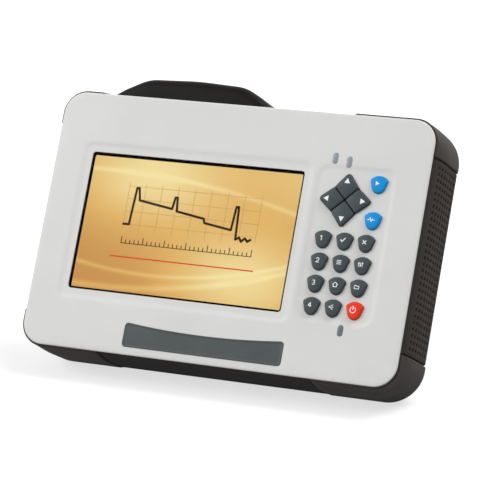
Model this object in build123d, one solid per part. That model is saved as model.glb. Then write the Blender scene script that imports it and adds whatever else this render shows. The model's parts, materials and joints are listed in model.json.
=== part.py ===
from build123d import *
import os
from functools import reduce
from math import cos, hypot, radians, sin, sqrt

# Tablet optical tester: a light front panel with screen and keypad, a dark shell with rubber
# corner bumpers, a dust cover over the optical ports, and a battery hump carrying a wire-form
# stand.  Everything is drawn upright first: x to the right, y into the depth with the panel
# face on y = 0, z up with the bumpers' lower edge on z = 0.  The last section leans it back
# on its opened stand and puts the origin under the middle of the whole.

# ---------------------------------------------------------------- driving sizes, millimetres
PANEL_W, PANEL_H, PANEL_R = 246.0, 161.0, 14.0   # front panel outline and its corner radius
PANEL_T = 2.5                                    # panel plate
RIM = 3.5                                        # panel edge to bumper edge
BODY_D = 50.0                                    # panel face to the shell's rear face
HUMP_D = 22.0                                    # the battery hump behind that
WALL = 3.0                                       # shell wall
REAR_R = 12.0                                    # roll of the shell into its rear face
BULGE, SWELL = 3.0, 22.0                         # how far the sides swell, and by which depth
REAR_CORNER = 21.5                               # corner radius of the shell behind the swell
BUMP_T, BUMP_OUT = 1.7, 0.5                      # rubber bumpers, and how far they stand proud
LEAN, OPEN = 26.0, 38.3                          # degrees: the tester's lean, the stand's opening
STAND_T, STAND_BAR = 6.0, 12.0                   # stand thickness and width of its bars
CELL_R = 9.2                                     # battery cells, four side by side
WIN_H, WIN_R = 86.8, 1.6                         # screen glass, height and corner
GLASS_T = 1.2
PITCH_X, PITCH_Z = 13.65, 13.52                  # key pitch
KEY_W, KEY_H = 10.7, 10.7                        # shield-shaped key
KEY_UP, KEY_TRAVEL, KEY_EASE = 1.6, 1.0, 0.5     # key top above the panel face, stroke, edge
PAD_D, PAD_R, PAD_NIP = 16.95, 1.9, 1.2          # arrow pad: centre to corner, radius, waist
SEAM = 0.5                                       # gap between the four arrow keys
COVER_W, COVER_TOP, COVER_H = 110.0, 60.0, 12.4  # dust cover: base, top, rise at its ends
CROWN = 1.4                                      # rise of its top towards the middle
FLAP_W, FLAP_D, FLAP_T = 54.2, 19.8, 2.0         # rubber flap over the data sockets
PORT_PITCH = 28.0                                # optical ports
FERRULE_R = 1.25                                 # bore of the optical ports
FOOT_R, FOOT_T = 5.0, 1.5                        # rubber feet on the battery hump
PIN_R = 2.0                                      # stand pins
HUMP_CORNER, HUMP_R = 14.0, 6.0                  # corners of the battery hump, roll of its edge
SHELF_T = 2.5                                    # hump wall behind the stand's groove
SCREW_R, HEAD_R, HEAD_T = 1.5, 2.8, 2.6          # case screws: shaft, head
POST_R, BOARD_R, DOOR_R = 5.0, 1.25, 1.1         # screw pillars, board screws, door screws
PORT_R, VFL_R, PORT_WALL = 4.0, 3.4, 0.9         # barrels of the optical ports
DOOR_T = 2.2                                     # battery door
FLAP_PIN = 0.8                                   # trunnions of the rubber flap
DISH = 0.45                                      # shallow fields round the screen and keypad
PLATE_W, PLATE_H, PLATE_SAG = 104.6, 15.0, 2.8   # name plate and its hollow upper edge
PILL_W, PILL_H = 3.5, 6.9                        # indicator windows

# fits, per side
KEY_GAP, DROP_IN, SNUG, RUNNING = 0.25, 0.20, 0.10, 0.05

# ---------------------------------------------------------------- derived positions
HALF = PANEL_W / 2
Z0, Z1 = RIM, RIM + PANEL_H
ZC = (Z0 + Z1) / 2
RIM_T = 1.0                                      # rim of the panel that stays in sight
INSET = WALL + DROP_IN                           # panel plate inside the shell's mouth
SKIRT_Y, SKIRT_T = 8.0, 2.0                      # skirt behind the panel
SEAL_T = 1.2
SCREW_Y0 = PANEL_T + 1.6                         # tips of the case screws
KEY_X = HALF - 45.7                              # middle key column
WIN_X0, WIN_X1 = -HALF + 25.2, KEY_X - 32.5
WIN_Z0 = Z0 + 37.0
WIN_Z1 = WIN_Z0 + WIN_H
GLASS_Y = 0.8                                    # glass sits this far below the panel face
LIP = 2.2                                        # ledge the glass is bonded to
LCD_Y0, LCD_Y1 = PANEL_T + 1.3, 9.0
KEY_Z = Z0 + 83.5                                # upper row of the twelve small keys
PAD_X, PAD_Z = KEY_X - 4.0, KEY_Z + 24.8         # centre of the arrow pad
FLANGE, FLANGE_T, STEM = 0.8, 0.8, 1.8           # key collars, half width of the square stems
STEM_Y = PANEL_T + FLANGE_T + 1.3
MAT_Y = STEM_Y + KEY_TRAVEL + 0.1                # tops of the key domes
BOARD_Y = MAT_Y + 0.8                            # keypad board, front face
CHASSIS_Y, CHASSIS_T = LCD_Y1, 1.5
MAIN_Y, MAIN_T = 16.0, 1.6
SCREW_X = HALF - 15.0
SCREW_ZS = (ZC - 48.0, ZC, ZC + 48.0)
TOP = Z1 + BULGE                                 # top face of the shell
REAR = BODY_D + HUMP_D                           # rear face of the hump
BAY_X = 4 * CELL_R + 2.7                         # battery bay, its door, the stand round that
DOOR_X = BAY_X + 4.0
STAND_X0 = DOOR_X + 4.5
STAND_X1 = STAND_X0 + STAND_BAR
HUMP_X, HUMP_Z0, HUMP_Z1 = STAND_X1 + 25.0, 16.0, ZC + 48.0
PIVOT_Z = HUMP_Z1 - 14.0
PIVOT_Y = REAR - 0.3 - STAND_T / 2
GROOVE = 1.5                                     # room round the folded stand
GROOVE_Y = PIVOT_Y - STAND_T / 2 - 0.7
DOOR_Z0, DOOR_Z1 = PIVOT_Z - 79.0, PIVOT_Z - 5.0
BAY_Z0, BAY_Z1 = DOOR_Z0 + 3.0, DOOR_Z1 - 3.0
BAY_Y = BODY_D + 1.0                             # floor of the battery bay
PORT_X = -HALF + 25.5 + COVER_W / 2              # middle of the dust cover
PORT_Y = 28.0
COVER_Y0, COVER_Y1 = 12.0, 44.0
COVER_GAP = 0.5
PLATE_Z = TOP - 10.0                             # outer face of the port plate
HINGE_Y, HINGE_Z, HINGE_R, HINGE_PIN = COVER_Y1 + 3.5, TOP + 1.5, 2.8, 1.5
FLAP_X0 = PORT_X + COVER_W / 2 + 1.7
FLAP_X1 = FLAP_X0 + FLAP_W
FLAP_HY, FLAP_HZ = 36.4, TOP - 1.4               # its hinge line
FLAP_Y0 = FLAP_HY - FLAP_D
# name, middle, width, depth, length of each socket
JACKS = (("dc_jack", FLAP_X0 + 5.8, 9.0, 11.0, 14.0),
         ("rj45_socket", FLAP_X0 + 19.3, 16.0, 13.4, 21.0),
         ("usb_a_socket", FLAP_X0 + 34.9, 13.2, 14.6, 17.5),
         ("usb_b_socket", FLAP_X0 + 48.0, 11.4, 10.8, 16.0))
JACK_Z = TOP - 3.0                               # mouths of the sockets

# The shell stands on the rolled rear edge of its lower bumpers.  With the ground's outward
# direction (gy, gz), the leg is as long as the opened stand needs to reach the same line.
gy, gz = sin(radians(LEAN)), -cos(radians(LEAN))
GROUND = gy * (BODY_D - REAR_R) + gz * (Z0 - BULGE + REAR_R) + REAR_R + BUMP_OUT
LEG = (GROUND - STAND_T / 2 - gy * PIVOT_Y - gz * PIVOT_Z) / cos(radians(OPEN - LEAN))
FOOT_Z = PIVOT_Z - LEG - STAND_T / 2             # lowest point of the folded stand


# ---------------------------------------------------------------- shape helpers
def prism(sketch, y0, y1):
    """A sketch drawn in x and z, made solid from depth y0 to depth y1."""
    return extrude(Plane.XZ.offset(-y1) * sketch, amount=y1 - y0)


def slab(x0, x1, y0, y1, z0, z1, r=0.0):
    """A block; r rounds its four edges that run into the depth."""
    w, h = x1 - x0, z1 - z0
    face = RectangleRounded(w, h, r) if r else Rectangle(w, h)
    return prism(Pos((x0 + x1) / 2, (z0 + z1) / 2) * face, y0, y1)


def rod(x, z, r, y0, y1):
    """A cylinder that runs into the depth."""
    return prism(Pos(x, z) * Circle(r), y0, y1)


def bar(y, z, r, x0, x1):
    """A cylinder that runs along x."""
    return extrude(Plane.YZ.offset(x0) * Pos(y, z) * Circle(r), amount=x1 - x0)


def post(x, y, r, z0, z1):
    """A cylinder that runs up."""
    return extrude(Plane.XY.offset(z0) * Pos(x, y) * Circle(r), amount=z1 - z0)


def joined(solids):
    """All of them in one shape."""
    return reduce(lambda a, b: a + b, solids)


def outline(w):
    """The panel outline moved outward by w."""
    return Pos(0, ZC) * RectangleRounded(PANEL_W + 2 * w, PANEL_H + 2 * w, PANEL_R + w)


def body(grow):
    """The shell's outer shape moved outward by grow: it swells behind the panel, its corners
    open from the panel's radius to a larger one, and it rolls into the rear face."""
    faces = []
    for t, w in ((0.0, 0.0), (1 / 3, 0.55), (2 / 3, 0.88), (1.0, 1.0)):
        y = RIM_T + t * (SWELL - RIM_T)
        r = PANEL_R + w * (REAR_CORNER - PANEL_R) + grow
        w = w * BULGE + grow
        faces.append(Plane.XZ.offset(-y) * Pos(0, ZC) * RectangleRounded(
            PANEL_W + 2 * w, PANEL_H + 2 * w, r))
    rear = prism(Pos(0, ZC) * RectangleRounded(PANEL_W + 2 * (BULGE + grow),
                                               PANEL_H + 2 * (BULGE + grow), REAR_CORNER + grow),
                 SWELL, BODY_D + grow)
    rear = fillet(rear.edges().filter_by(lambda e: e.center().Y > BODY_D + grow - 0.01),
                  REAR_R + grow)
    return loft(faces) + rear


def ring(grow):
    """The border of that shape, open in the middle of the rear face."""
    return body(grow) - prism(outline(BULGE - REAR_R - 3.5), -1, BODY_D + 10)


nodes = {}

# ---------------------------------------------------------------- shell, bumpers and grips
whole = body(0)
BUMP_X, BUMP_Z = HALF - 53.0, 21.0               # where the bumpers end, along and up
INNER_ENDS = {"bumper_top_left": HALF - 24.5, "bumper_top_right": FLAP_X1 + 1.6}
jacket = ring(BUMP_OUT) - body(BUMP_OUT - BUMP_T)
for name, sx, sz in (("bumper_top_left", -1, 1), ("bumper_top_right", 1, 1),
                     ("bumper_bottom_left", -1, -1), ("bumper_bottom_right", 1, -1)):
    x0, x1 = sorted((sx * INNER_ENDS.get(name, BUMP_X), sx * (HALF + 20)))
    z0, z1 = (Z1 - BUMP_Z, Z1 + 20) if sz > 0 else (Z0 - 20, Z0 + BUMP_Z)
    nodes[name] = jacket & slab(x0, x1, 0, BODY_D + 10, z0, z1)

GRIP_T, SLOT_W = 1.8, 0.9                        # grip pads, and the groove beside each bumper
sleeve = ring(0) - body(-GRIP_T)
for name, sx in (("side_grip_left", -1), ("side_grip_right", 1)):
    x0, x1 = sorted((sx * (HALF - 8), sx * (HALF + 20)))
    nodes[name] = sleeve & slab(x0, x1, 3.6, BODY_D - 3.5,
                                Z0 + BUMP_Z + SLOT_W, Z1 - BUMP_Z - SLOT_W)

# the battery hump on the rear face, hollow behind the stand's groove
hump = slab(-HUMP_X, HUMP_X, BODY_D - 2, REAR, HUMP_Z0, HUMP_Z1, HUMP_CORNER)
hump = fillet(hump.edges().filter_by(lambda e: e.center().Y > REAR - 0.01), HUMP_R)
sheath = ring(1) - body(-1.2)
shell = whole - (sheath & (slab(-HALF - 9, HALF + 9, 0, 70, Z0 + BUMP_Z, Z0 + BUMP_Z + SLOT_W) + slab(
    -HALF - 9, HALF + 9, 0, 70, Z1 - BUMP_Z - SLOT_W, Z1 - BUMP_Z)))
for x, z in ((-BUMP_X + SLOT_W, Z0), (BUMP_X, Z0), (INNER_ENDS["bumper_top_right"], Z1)):
    shell -= sheath & slab(x - SLOT_W, x, 0, 70, z - 12, z + 12)
shell += hump
shell -= body(-WALL)
back = GROOVE_Y - SHELF_T
shell -= slab(-HUMP_X + WALL, HUMP_X - WALL, BODY_D - 2 * WALL, back, HUMP_Z0 + WALL, HUMP_Z1 - WALL,
              HUMP_CORNER - WALL)
for s in (-1, 1):
    x0, x1 = sorted((s * (STAND_X1 + 7), s * (HUMP_X - WALL)))
    shell -= slab(x0, x1, back - 1, REAR - WALL - 0.5, HUMP_Z0 + 12, HUMP_Z1 - 12, 3)
bay = slab(-BAY_X - 2, BAY_X + 2, BAY_Y - 2, back + 1, BAY_Z0 - 2, BAY_Z1 + 2, 3)
shell += bay
shell -= slab(-BAY_X, BAY_X, BAY_Y, REAR + 1, BAY_Z0, BAY_Z1, 2)
shell -= slab(-DOOR_X - DROP_IN, DOOR_X + DROP_IN, REAR - DOOR_T, REAR + 1,
              DOOR_Z0 - DROP_IN, DOOR_Z1 + DROP_IN, 3 + DROP_IN)
# groove for the folded stand, with a finger scoop below its cross bar
groove = slab(-STAND_X1 - GROOVE, STAND_X1 + GROOVE, GROOVE_Y, REAR + 1,
              FOOT_Z - GROOVE, PIVOT_Z, 10 + GROOVE)
groove += slab(-STAND_X1 - GROOVE, STAND_X1 + GROOVE, GROOVE_Y, REAR + 1,
               PIVOT_Z - 30, PIVOT_Z + STAND_T / 2 + GROOVE, 2)
groove -= slab(-STAND_X0 + GROOVE, STAND_X0 - GROOVE, GROOVE_Y - 1, REAR + 2,
               FOOT_Z + STAND_BAR + GROOVE, PIVOT_Z + 40, 3)
shell -= groove
shell -= prism(Pos(0, FOOT_Z + 2) * RectangleRounded(36, 14, 5), REAR - 5.5, REAR + 1)

# ledge for the seal, pillars for the six case screws
SEAT_Y = BODY_D - HEAD_T - 0.6                   # the screw heads lie below the rear face
shell += prism(outline(-0.8), SKIRT_Y + SEAL_T, SKIRT_Y + SEAL_T + 1.8) - prism(
    outline(-INSET - SKIRT_T - DROP_IN), SKIRT_Y, BODY_D)
for sx in (-1, 1):
    for z in SCREW_ZS:
        shell += rod(sx * SCREW_X, z, POST_R, CHASSIS_Y + CHASSIS_T, BODY_D - WALL / 2)
for sx in (-1, 1):
    for z in SCREW_ZS:
        shell -= rod(sx * SCREW_X, z, SCREW_R + SNUG, CHASSIS_Y - 1, BODY_D)
        shell -= rod(sx * SCREW_X, z, HEAD_R + 0.45, SEAT_Y, BODY_D + 1)

# bay for the optical ports in the top face: pocket, plate ledge, opening for the adapters
PX, PY0, PY1 = COVER_W / 2 - 6.0, PORT_Y - 13.0, PORT_Y + 13.0
shell += slab(PORT_X - PX - 2, PORT_X + PX + 2, PY0 - 2, PY1 + 2, PLATE_Z - 5, TOP - 2)
shell -= slab(PORT_X - PX, PORT_X + PX, PY0, PY1, PLATE_Z - 2, TOP + 5)
shell -= slab(PORT_X - PX + 4, PORT_X + PX - 4, PY0 + 4, PY1 - 4, PLATE_Z - 9, TOP)
# hinge knuckles behind it
for s in (-1, 1):
    x0, x1 = sorted((PORT_X + s * 20.0, PORT_X + s * 26.0))
    shell += slab(x0, x1, HINGE_Y - HINGE_R, BODY_D, TOP - 11, HINGE_Z) + bar(
        HINGE_Y, HINGE_Z, HINGE_R, x0, x1)
shell -= bar(HINGE_Y, HINGE_Z, HINGE_PIN, PORT_X - 26, PORT_X + 26)

# seat, trough and openings for the data sockets, right of the dust cover
shell += slab(FLAP_X0 - 3, FLAP_X1 + 2, FLAP_Y0 - 2, FLAP_HY + 4, JACK_Z - 3.5, TOP - 2.5)
shell -= slab(FLAP_X0 - DROP_IN, FLAP_X1 + DROP_IN, FLAP_Y0 - DROP_IN, FLAP_HY,
              TOP - 0.2 - FLAP_T, TOP + 3)
shell -= slab(FLAP_X0 - DROP_IN, FLAP_X1 + DROP_IN, FLAP_HY - 0.1, FLAP_HY + 1.8, FLAP_HZ, TOP + 3)
shell -= bar(FLAP_HY, FLAP_HZ, 1.6, FLAP_X0 - DROP_IN, FLAP_X1 + DROP_IN)
shell -= bar(FLAP_HY, FLAP_HZ, FLAP_PIN + RUNNING, FLAP_X0 - 1.2, FLAP_X1 + 1.2)
for _, x, w, d, _ in JACKS:
    y = MAIN_Y + MAIN_T
    shell -= slab(x - w / 2 - SNUG, x + w / 2 + SNUG, y - SNUG, y + d + SNUG, JACK_Z - 8, TOP + 1)

# speaker slots in the rear face, holes for the stand pins, and the seats of the soft pieces
SPK_X, SPK_Z = HUMP_X + 10.5, ZC - 24.0
for i in range(5):
    shell -= slab(SPK_X - 6, SPK_X + 6, BODY_D - WALL - 1, BODY_D + 1,
                  SPK_Z - 8.8 + 4 * i, SPK_Z - 7.2 + 4 * i, 0.7)
PIN_SPANS = [(-STAND_X1 - 5, 7 - STAND_X0), (STAND_X0 - 7, STAND_X1 + 5)]
for x0, x1 in PIN_SPANS:
    shell -= bar(PIVOT_Y, PIVOT_Z, PIN_R, x0, x1)
for name in list(nodes):
    shell -= nodes[name]
nodes["rear_shell"] = shell

# ---------------------------------------------------------------- front panel
panel = prism(outline(0), 0, RIM_T)
panel = chamfer(panel.edges().filter_by(lambda e: e.center().Y < 0.01), 0.5)
panel += prism(outline(-INSET), RIM_T - 0.2, PANEL_T)
panel += prism(outline(-INSET), PANEL_T - 0.1, SKIRT_Y) - prism(
    outline(-INSET - SKIRT_T), PANEL_T, SKIRT_Y + 1)
panel += slab(WIN_X0 - 4, WIN_X1 + 4, PANEL_T - 0.5, PANEL_T + 0.7, WIN_Z0 - 4, WIN_Z1 + 4, 3)
for sx in (-1, 1):
    for z in SCREW_ZS:
        panel += rod(sx * SCREW_X, z, POST_R - 0.8, PANEL_T - 0.5, CHASSIS_Y)
        panel -= rod(sx * SCREW_X, z, SCREW_R, SCREW_Y0 - 0.7, CHASSIS_Y + 1)
field = slab(WIN_X0 - 5.0, WIN_X1 + 4.2, -2, DISH, WIN_Z0 - 5.2, WIN_Z1 + 5.2, 4)
PAD_TOP, PAD_LOW = PAD_Z + 20.2, KEY_Z - 3 * PITCH_Z - 8.6
keys_field = slab(KEY_X - 23.5, KEY_X + 25.0, -2, DISH, PAD_LOW, PAD_TOP, 6)
for f in (field, keys_field):
    panel -= chamfer(f.edges().filter_by(lambda e: e.center().Y > DISH - 0.01), 0.4)
panel -= slab(WIN_X0, WIN_X1, -1, GLASS_Y + GLASS_T, WIN_Z0, WIN_Z1, WIN_R)
panel -= slab(WIN_X0 + LIP, WIN_X1 - LIP, -1, PANEL_T + 2, WIN_Z0 + LIP, WIN_Z1 - LIP, 1)
nodes["screen_glass"] = slab(WIN_X0 + SNUG, WIN_X1 - SNUG, GLASS_Y, GLASS_Y + GLASS_T,
                             WIN_Z0 + SNUG, WIN_Z1 - SNUG, WIN_R - SNUG)

# name plate with a hollow upper edge, left bare
PLATE_LOW, PLATE_SEAT = Z0 + 4.9, 0.6


def plate_face(grow):
    """Name plate outline, grown by a fit."""
    w, lo, hi = PLATE_W / 2 + grow, PLATE_LOW - grow, PLATE_LOW + PLATE_H + grow
    e = [Edge.make_line((-w, lo), (w, lo)), Edge.make_line((w, lo), (w, hi)),
         Edge.make_three_point_arc((w, hi), (0, hi - PLATE_SAG), (-w, hi)),
         Edge.make_line((-w, hi), (-w, lo))]
    f = make_face(e)
    return Pos(-1.6, 0) * fillet(f.vertices(), 2.0)


panel -= prism(plate_face(SNUG), -1, PLATE_SEAT)
nodes["nameplate"] = prism(plate_face(0), -0.3, PLATE_SEAT)

# three indicator windows with a collar behind the plate and a light pipe to the board
LIGHTS = (("led_window_power", PAD_X - 10.6, PAD_TOP + 4.8),
          ("led_window_charge", PAD_X - 1.4, PAD_TOP + 3.2),
          ("sensor_window", KEY_X + 7.0, PAD_LOW - 4.0))
PIPE_R = 1.5                                     # light pipes behind them


def pill(x, z, grow=0.0):
    """Outline of an indicator window."""
    return Pos(x, z) * SlotOverall(PILL_H + 2 * grow, PILL_W + 2 * grow, rotation=90)


for name, x, z in LIGHTS:
    nodes[name] = prism(pill(x, z), -0.15, PANEL_T) + prism(
        pill(x, z, FLANGE), PANEL_T, PANEL_T + FLANGE_T) + rod(x, z, PIPE_R, PANEL_T + 0.5, BOARD_Y)
    panel -= prism(pill(x, z, RUNNING), -1, PANEL_T)

# ---------------------------------------------------------------- keys


def shield(grow=0.0):
    """A key seen from the front: arched top, wide shoulders, narrow round foot."""
    w, h = KEY_W / 2 + grow, KEY_H / 2 + grow
    e = [Edge.make_three_point_arc((-w - 0.15, 0.52 * h), (0, h), (w + 0.15, 0.52 * h)),
         Edge.make_line((w + 0.15, 0.52 * h), (0.68 * w, -0.62 * h)),
         Edge.make_three_point_arc((0.68 * w, -0.62 * h), (0, -h), (-0.68 * w, -0.62 * h)),
         Edge.make_line((-0.68 * w, -0.62 * h), (-w - 0.15, 0.52 * h))]
    return fillet(make_face(e).vertices(), 1.25)


def quarter(lo, hi):
    """One quarter of the arrow pad in axes turned by 45 degrees; its outer sides draw in
    towards the seams."""
    return make_face(Polyline((lo, lo), (hi - PAD_NIP, lo), (hi, hi), (lo, hi - PAD_NIP),
                              close=True))


def tipped_quarter(lo, hi):
    """The same with its outer corner rounded."""
    return fillet(quarter(lo, hi).vertices().sort_by(lambda p: p.X + p.Y)[-1:], PAD_R)


def eased_quarter(lo, hi):
    """The same with its side corners rounded too."""
    sides = tipped_quarter(lo, hi).vertices().sort_by(lambda p: abs(p.X - p.Y))[-2:]
    return fillet(sides, PAD_R / 2)


def key(face, collar, x, z):
    """Cap with an eased front edge, collar that stops behind the panel, stem to the dome."""
    cap = prism(face, -KEY_UP, PANEL_T)
    cap = chamfer(cap.edges().filter_by(lambda e: e.center().Y < -KEY_UP + 0.01), KEY_EASE)
    return cap + prism(collar, PANEL_T, PANEL_T + FLANGE_T) + slab(
        x - STEM, x + STEM, PANEL_T + 0.2, STEM_Y, z - STEM, z + STEM)


stems = []
GRID = (("key_f1", -1, 0), ("key_ok", 0, 0), ("key_esc", 1, 0),
        ("key_f2", -1, 1), ("key_menu", 0, 1), ("key_setup", 1, 1),
        ("key_f3", -1, 2), ("key_home", 0, 2), ("key_file", 1, 2),
        ("key_f4", -1, 3), ("key_vfl", 0, 3), ("key_power", 1, 3),
        ("key_test", 1.13, -2.662), ("key_real_time", 1.13, -1.03))
for name, col, row in GRID:
    x, z = KEY_X + col * PITCH_X, KEY_Z - row * PITCH_Z
    collar = RectangleRounded(KEY_W + 0.3 + 2 * FLANGE, KEY_H + 2 * FLANGE, 2.0)
    nodes[name] = key(Pos(x, z) * shield(), Pos(x, z) * collar, x, z)
    panel -= prism(Pos(x, z) * shield(KEY_GAP), -1, PANEL_T + 0.1)
    stems.append((x, z))

EDGE = PAD_D / sqrt(2)                           # pad centre to the flat sides
for name, turn in (("key_up", 45), ("key_left", 135), ("key_down", 225), ("key_right", 315)):
    put = Pos(PAD_X, PAD_Z) * Rot(0, 0, turn)
    c = (SEAM / 2 + EDGE) / 2 * sqrt(2)
    a = radians(turn + 45)
    x, z = PAD_X + c * cos(a), PAD_Z + c * sin(a)
    nodes[name] = key(put * eased_quarter(SEAM / 2, EDGE), put * quarter(SEAM / 2, EDGE + FLANGE),
                      x, z)
    stems.append((x, z))
    panel -= prism(put * tipped_quarter(0, EDGE + KEY_GAP), -1, PANEL_T + 0.1)
nodes["front_bezel"] = panel

# key domes on one soft sheet, and the board they press on
mat = slab(KEY_X - 23.5, KEY_X + 23.9, BOARD_Y - 0.6, BOARD_Y, PAD_LOW, PAD_TOP - 0.5, 4)
for x, z in stems:
    mat += rod(x, z, 3.0, MAT_Y, BOARD_Y - 0.3)
nodes["keymat"] = mat
board = slab(KEY_X - 25, KEY_X + 24.2, BOARD_Y, BOARD_Y + 1.6, PAD_LOW - 9.5, PAD_TOP + 10)
for sx in (-1, 1):
    for z in (PAD_LOW - 5, PAD_TOP - 6):
        board += rod(KEY_X + sx * 20, z, 2.5, BOARD_Y + 1.4, CHASSIS_Y)
nodes["keypad_board"] = board

# ---------------------------------------------------------------- screen stack and chassis
LCD_X0, LCD_X1, LCD_Z0, LCD_Z1 = WIN_X0 - 4.0, WIN_X1 + 4.0, WIN_Z0 - 4.5, WIN_Z1 + 4.5
nodes["lcd_module"] = slab(LCD_X0, LCD_X1, LCD_Y0, LCD_Y1, LCD_Z0, LCD_Z1)
nodes["screen_gasket"] = slab(WIN_X0 - 3, WIN_X1 + 3, PANEL_T + 0.7, LCD_Y0,
                              WIN_Z0 - 3, WIN_Z1 + 3, 2) - slab(
    WIN_X0 + LIP - 0.4, WIN_X1 - LIP + 0.4, 0, 20, WIN_Z0 + LIP - 0.4, WIN_Z1 - LIP + 0.4, 1)

CH_Y1 = CHASSIS_Y + CHASSIS_T
MAIN_X, MAIN_Z0, MAIN_Z1 = HALF - 27.0, Z0 + 20.5, PLATE_Z - 11.0
STAND_OFFS = [(sx * (MAIN_X - 6), z) for sx in (-1, 1)
              for z in (MAIN_Z0 + 6, (MAIN_Z0 + MAIN_Z1) / 2, MAIN_Z1 - 6)]
frame = slab(-HALF + 10, HALF - 10, CHASSIS_Y, CH_Y1, Z0 + 11, PLATE_Z - 9, 8)
for z0, z1 in ((Z0 + 11, Z0 + 12.5), (PLATE_Z - 10.5, PLATE_Z - 9)):
    frame += slab(-HALF + 22, HALF - 22, CHASSIS_Y, CH_Y1 + 4, z0, z1)
for x0, x1 in ((10 - MAIN_X, -20), (-8, WIN_X1)):
    frame -= slab(x0, x1, CHASSIS_Y - 1, CH_Y1 + 1, ZC - 34, ZC + 44, 5)
for x, z in STAND_OFFS:
    frame += rod(x, z, BOARD_R + 2, CH_Y1 - 0.3, MAIN_Y)
    frame -= rod(x, z, BOARD_R, CHASSIS_Y - 1, MAIN_Y + 1)
for sx in (-1, 1):
    for z in SCREW_ZS:
        frame -= rod(sx * SCREW_X, z, SCREW_R + SNUG, CHASSIS_Y - 1, CH_Y1 + 1)
RIB_X0, RIB_X1, RIB_Z = -40.0, -16.0, ZC - 42.0
frame -= slab(RIB_X0 - 2, RIB_X1 + 2, CHASSIS_Y - 1, CH_Y1 + 1, RIB_Z - 2, RIB_Z + 3)
nodes["chassis_frame"] = frame
nodes["lcd_ribbon"] = slab(RIB_X0, RIB_X1, LCD_Y1, MAIN_Y, RIB_Z, RIB_Z + 0.5)

pcb = slab(-MAIN_X, MAIN_X, MAIN_Y, MAIN_Y + MAIN_T, MAIN_Z0, MAIN_Z1)
pcb += slab(FLAP_X0 - 1, FLAP_X1 + 1, MAIN_Y, MAIN_Y + MAIN_T, MAIN_Z1 - 1, JACK_Z - 5)
# processor, flash, two memories, two connectors, power coil, audio: middle, size, height
for x, z, w, h, t in ((38, 52, 27, 27, 2.2), (38, 88, 17, 17, 1.6), (MAIN_X - 26, 52, 12, 18, 1.4),
                      (MAIN_X - 26, 78, 12, 18, 1.4), (-20, 42, 30, 9, 4.0),
                      (-62, 42, 22, 14, 6.0), (MAIN_X - 14, 112, 14, 14, 8.0),
                      (54, 118, 20, 10, 3.0)):
    pcb += slab(x - w / 2, x + w / 2, MAIN_Y + 1, MAIN_Y + MAIN_T + t, z - h / 2, z + h / 2)
for x, z in STAND_OFFS:
    pcb -= rod(x, z, BOARD_R + RUNNING, MAIN_Y - 1, MAIN_Y + MAIN_T + 1)
nodes["main_board"] = pcb
nodes["board_screws"] = joined(
    rod(x, z, 2 * BOARD_R, MAIN_Y + MAIN_T, MAIN_Y + MAIN_T + 1.6)
    + rod(x, z, BOARD_R, CH_Y1 - 1, MAIN_Y + MAIN_T + 0.5) for x, z in STAND_OFFS)

OTDR_Y0, OTDR_Y1 = MAIN_Y + MAIN_T + 1.0, MAIN_Y + MAIN_T + 15.8
box = slab(PORT_X - 41, PORT_X + 41, OTDR_Y0, OTDR_Y1, PLATE_Z - 93, PLATE_Z - 18, 2)
for dx in (-35, 35):
    for z in (PLATE_Z - 87, PLATE_Z - 24):
        box += rod(PORT_X + dx, z, 3.0, MAIN_Y + MAIN_T, OTDR_Y0 + 0.5)
for dx in (-PORT_PITCH, 0, PORT_PITCH):
    box += post(PORT_X + dx, PORT_Y, 3.0, PLATE_Z - 19, PLATE_Z - 9)
nodes["otdr_module"] = box



def case_screw(x, z):
    """Pan head with a hexagon socket, seated at the foot of its pocket in the shell."""
    s = rod(x, z, HEAD_R, SEAT_Y, SEAT_Y + HEAD_T) + rod(x, z, SCREW_R, SCREW_Y0, SEAT_Y + 0.2)
    return s - prism(Pos(x, z) * RegularPolygon(1.25, 6), SEAT_Y + 1.0, BODY_D)


def door_screw(x, z):
    """Pan head with a slot."""
    s = rod(x, z, 2.0, REAR, REAR + 0.9) + rod(x, z, DOOR_R, REAR - 6, REAR + 0.2)
    return s - slab(x - 1.5, x + 1.5, REAR + 0.4, REAR + 2, z - 0.25, z + 0.25)


case_screws = joined(case_screw(sx * SCREW_X, z) for sx in (-1, 1) for z in SCREW_ZS)
nodes["case_seal"] = prism(outline(-INSET), SKIRT_Y, SKIRT_Y + SEAL_T) - prism(
    outline(-INSET - SKIRT_T), SKIRT_Y - 1, SKIRT_Y + SEAL_T + 1)
nodes["speaker"] = slab(SPK_X - 8, SPK_X + 8, BODY_D - WALL - 4.5, BODY_D - WALL,
                        SPK_Z - 13, SPK_Z + 13, 7.5) - rod(SPK_X, SPK_Z, 4, 0, BODY_D - WALL - 3.2)

# ---------------------------------------------------------------- battery, door and feet
cells = joined(post((i - 1.5) * 2 * CELL_R, BAY_Y + CELL_R, CELL_R, BAY_Z0 + 1.5, BAY_Z1 - 1.5)
               for i in range(4))
nodes["battery_pack"] = cells + slab(-3 * CELL_R, 3 * CELL_R, BAY_Y, BAY_Y + 2 * CELL_R,
                                     BAY_Z0 + 1.5, BAY_Z1 - 1.5)
door = slab(-DOOR_X, DOOR_X, REAR - DOOR_T, REAR, DOOR_Z0, DOOR_Z1, 3)
for z in (DOOR_Z0 + 20, DOOR_Z1 - 22):           # ribs that hold the battery down
    door += slab(-BAY_X + 1, BAY_X - 1, BAY_Y + 2 * CELL_R, REAR - DOOR_T + 0.2, z, z + 2)
DOOR_SCREWS = [(sx * (DOOR_X - 2.6), z) for sx in (-1, 1) for z in (DOOR_Z0 + 8, DOOR_Z1 - 8)]
for i in range(6):                               # thumb grip
    x = 8 * (i - 2.5)
    door -= slab(x - 3, x + 3, REAR - 0.6, REAR + 1, DOOR_Z0 + 5, DOOR_Z0 + 9, 1)
for x, z in DOOR_SCREWS:
    door -= rod(x, z, DOOR_R, REAR - 3, REAR + 1)
    nodes["rear_shell"] -= rod(x, z, DOOR_R, REAR - 6.2, REAR)
nodes["battery_cover"] = door
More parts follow.
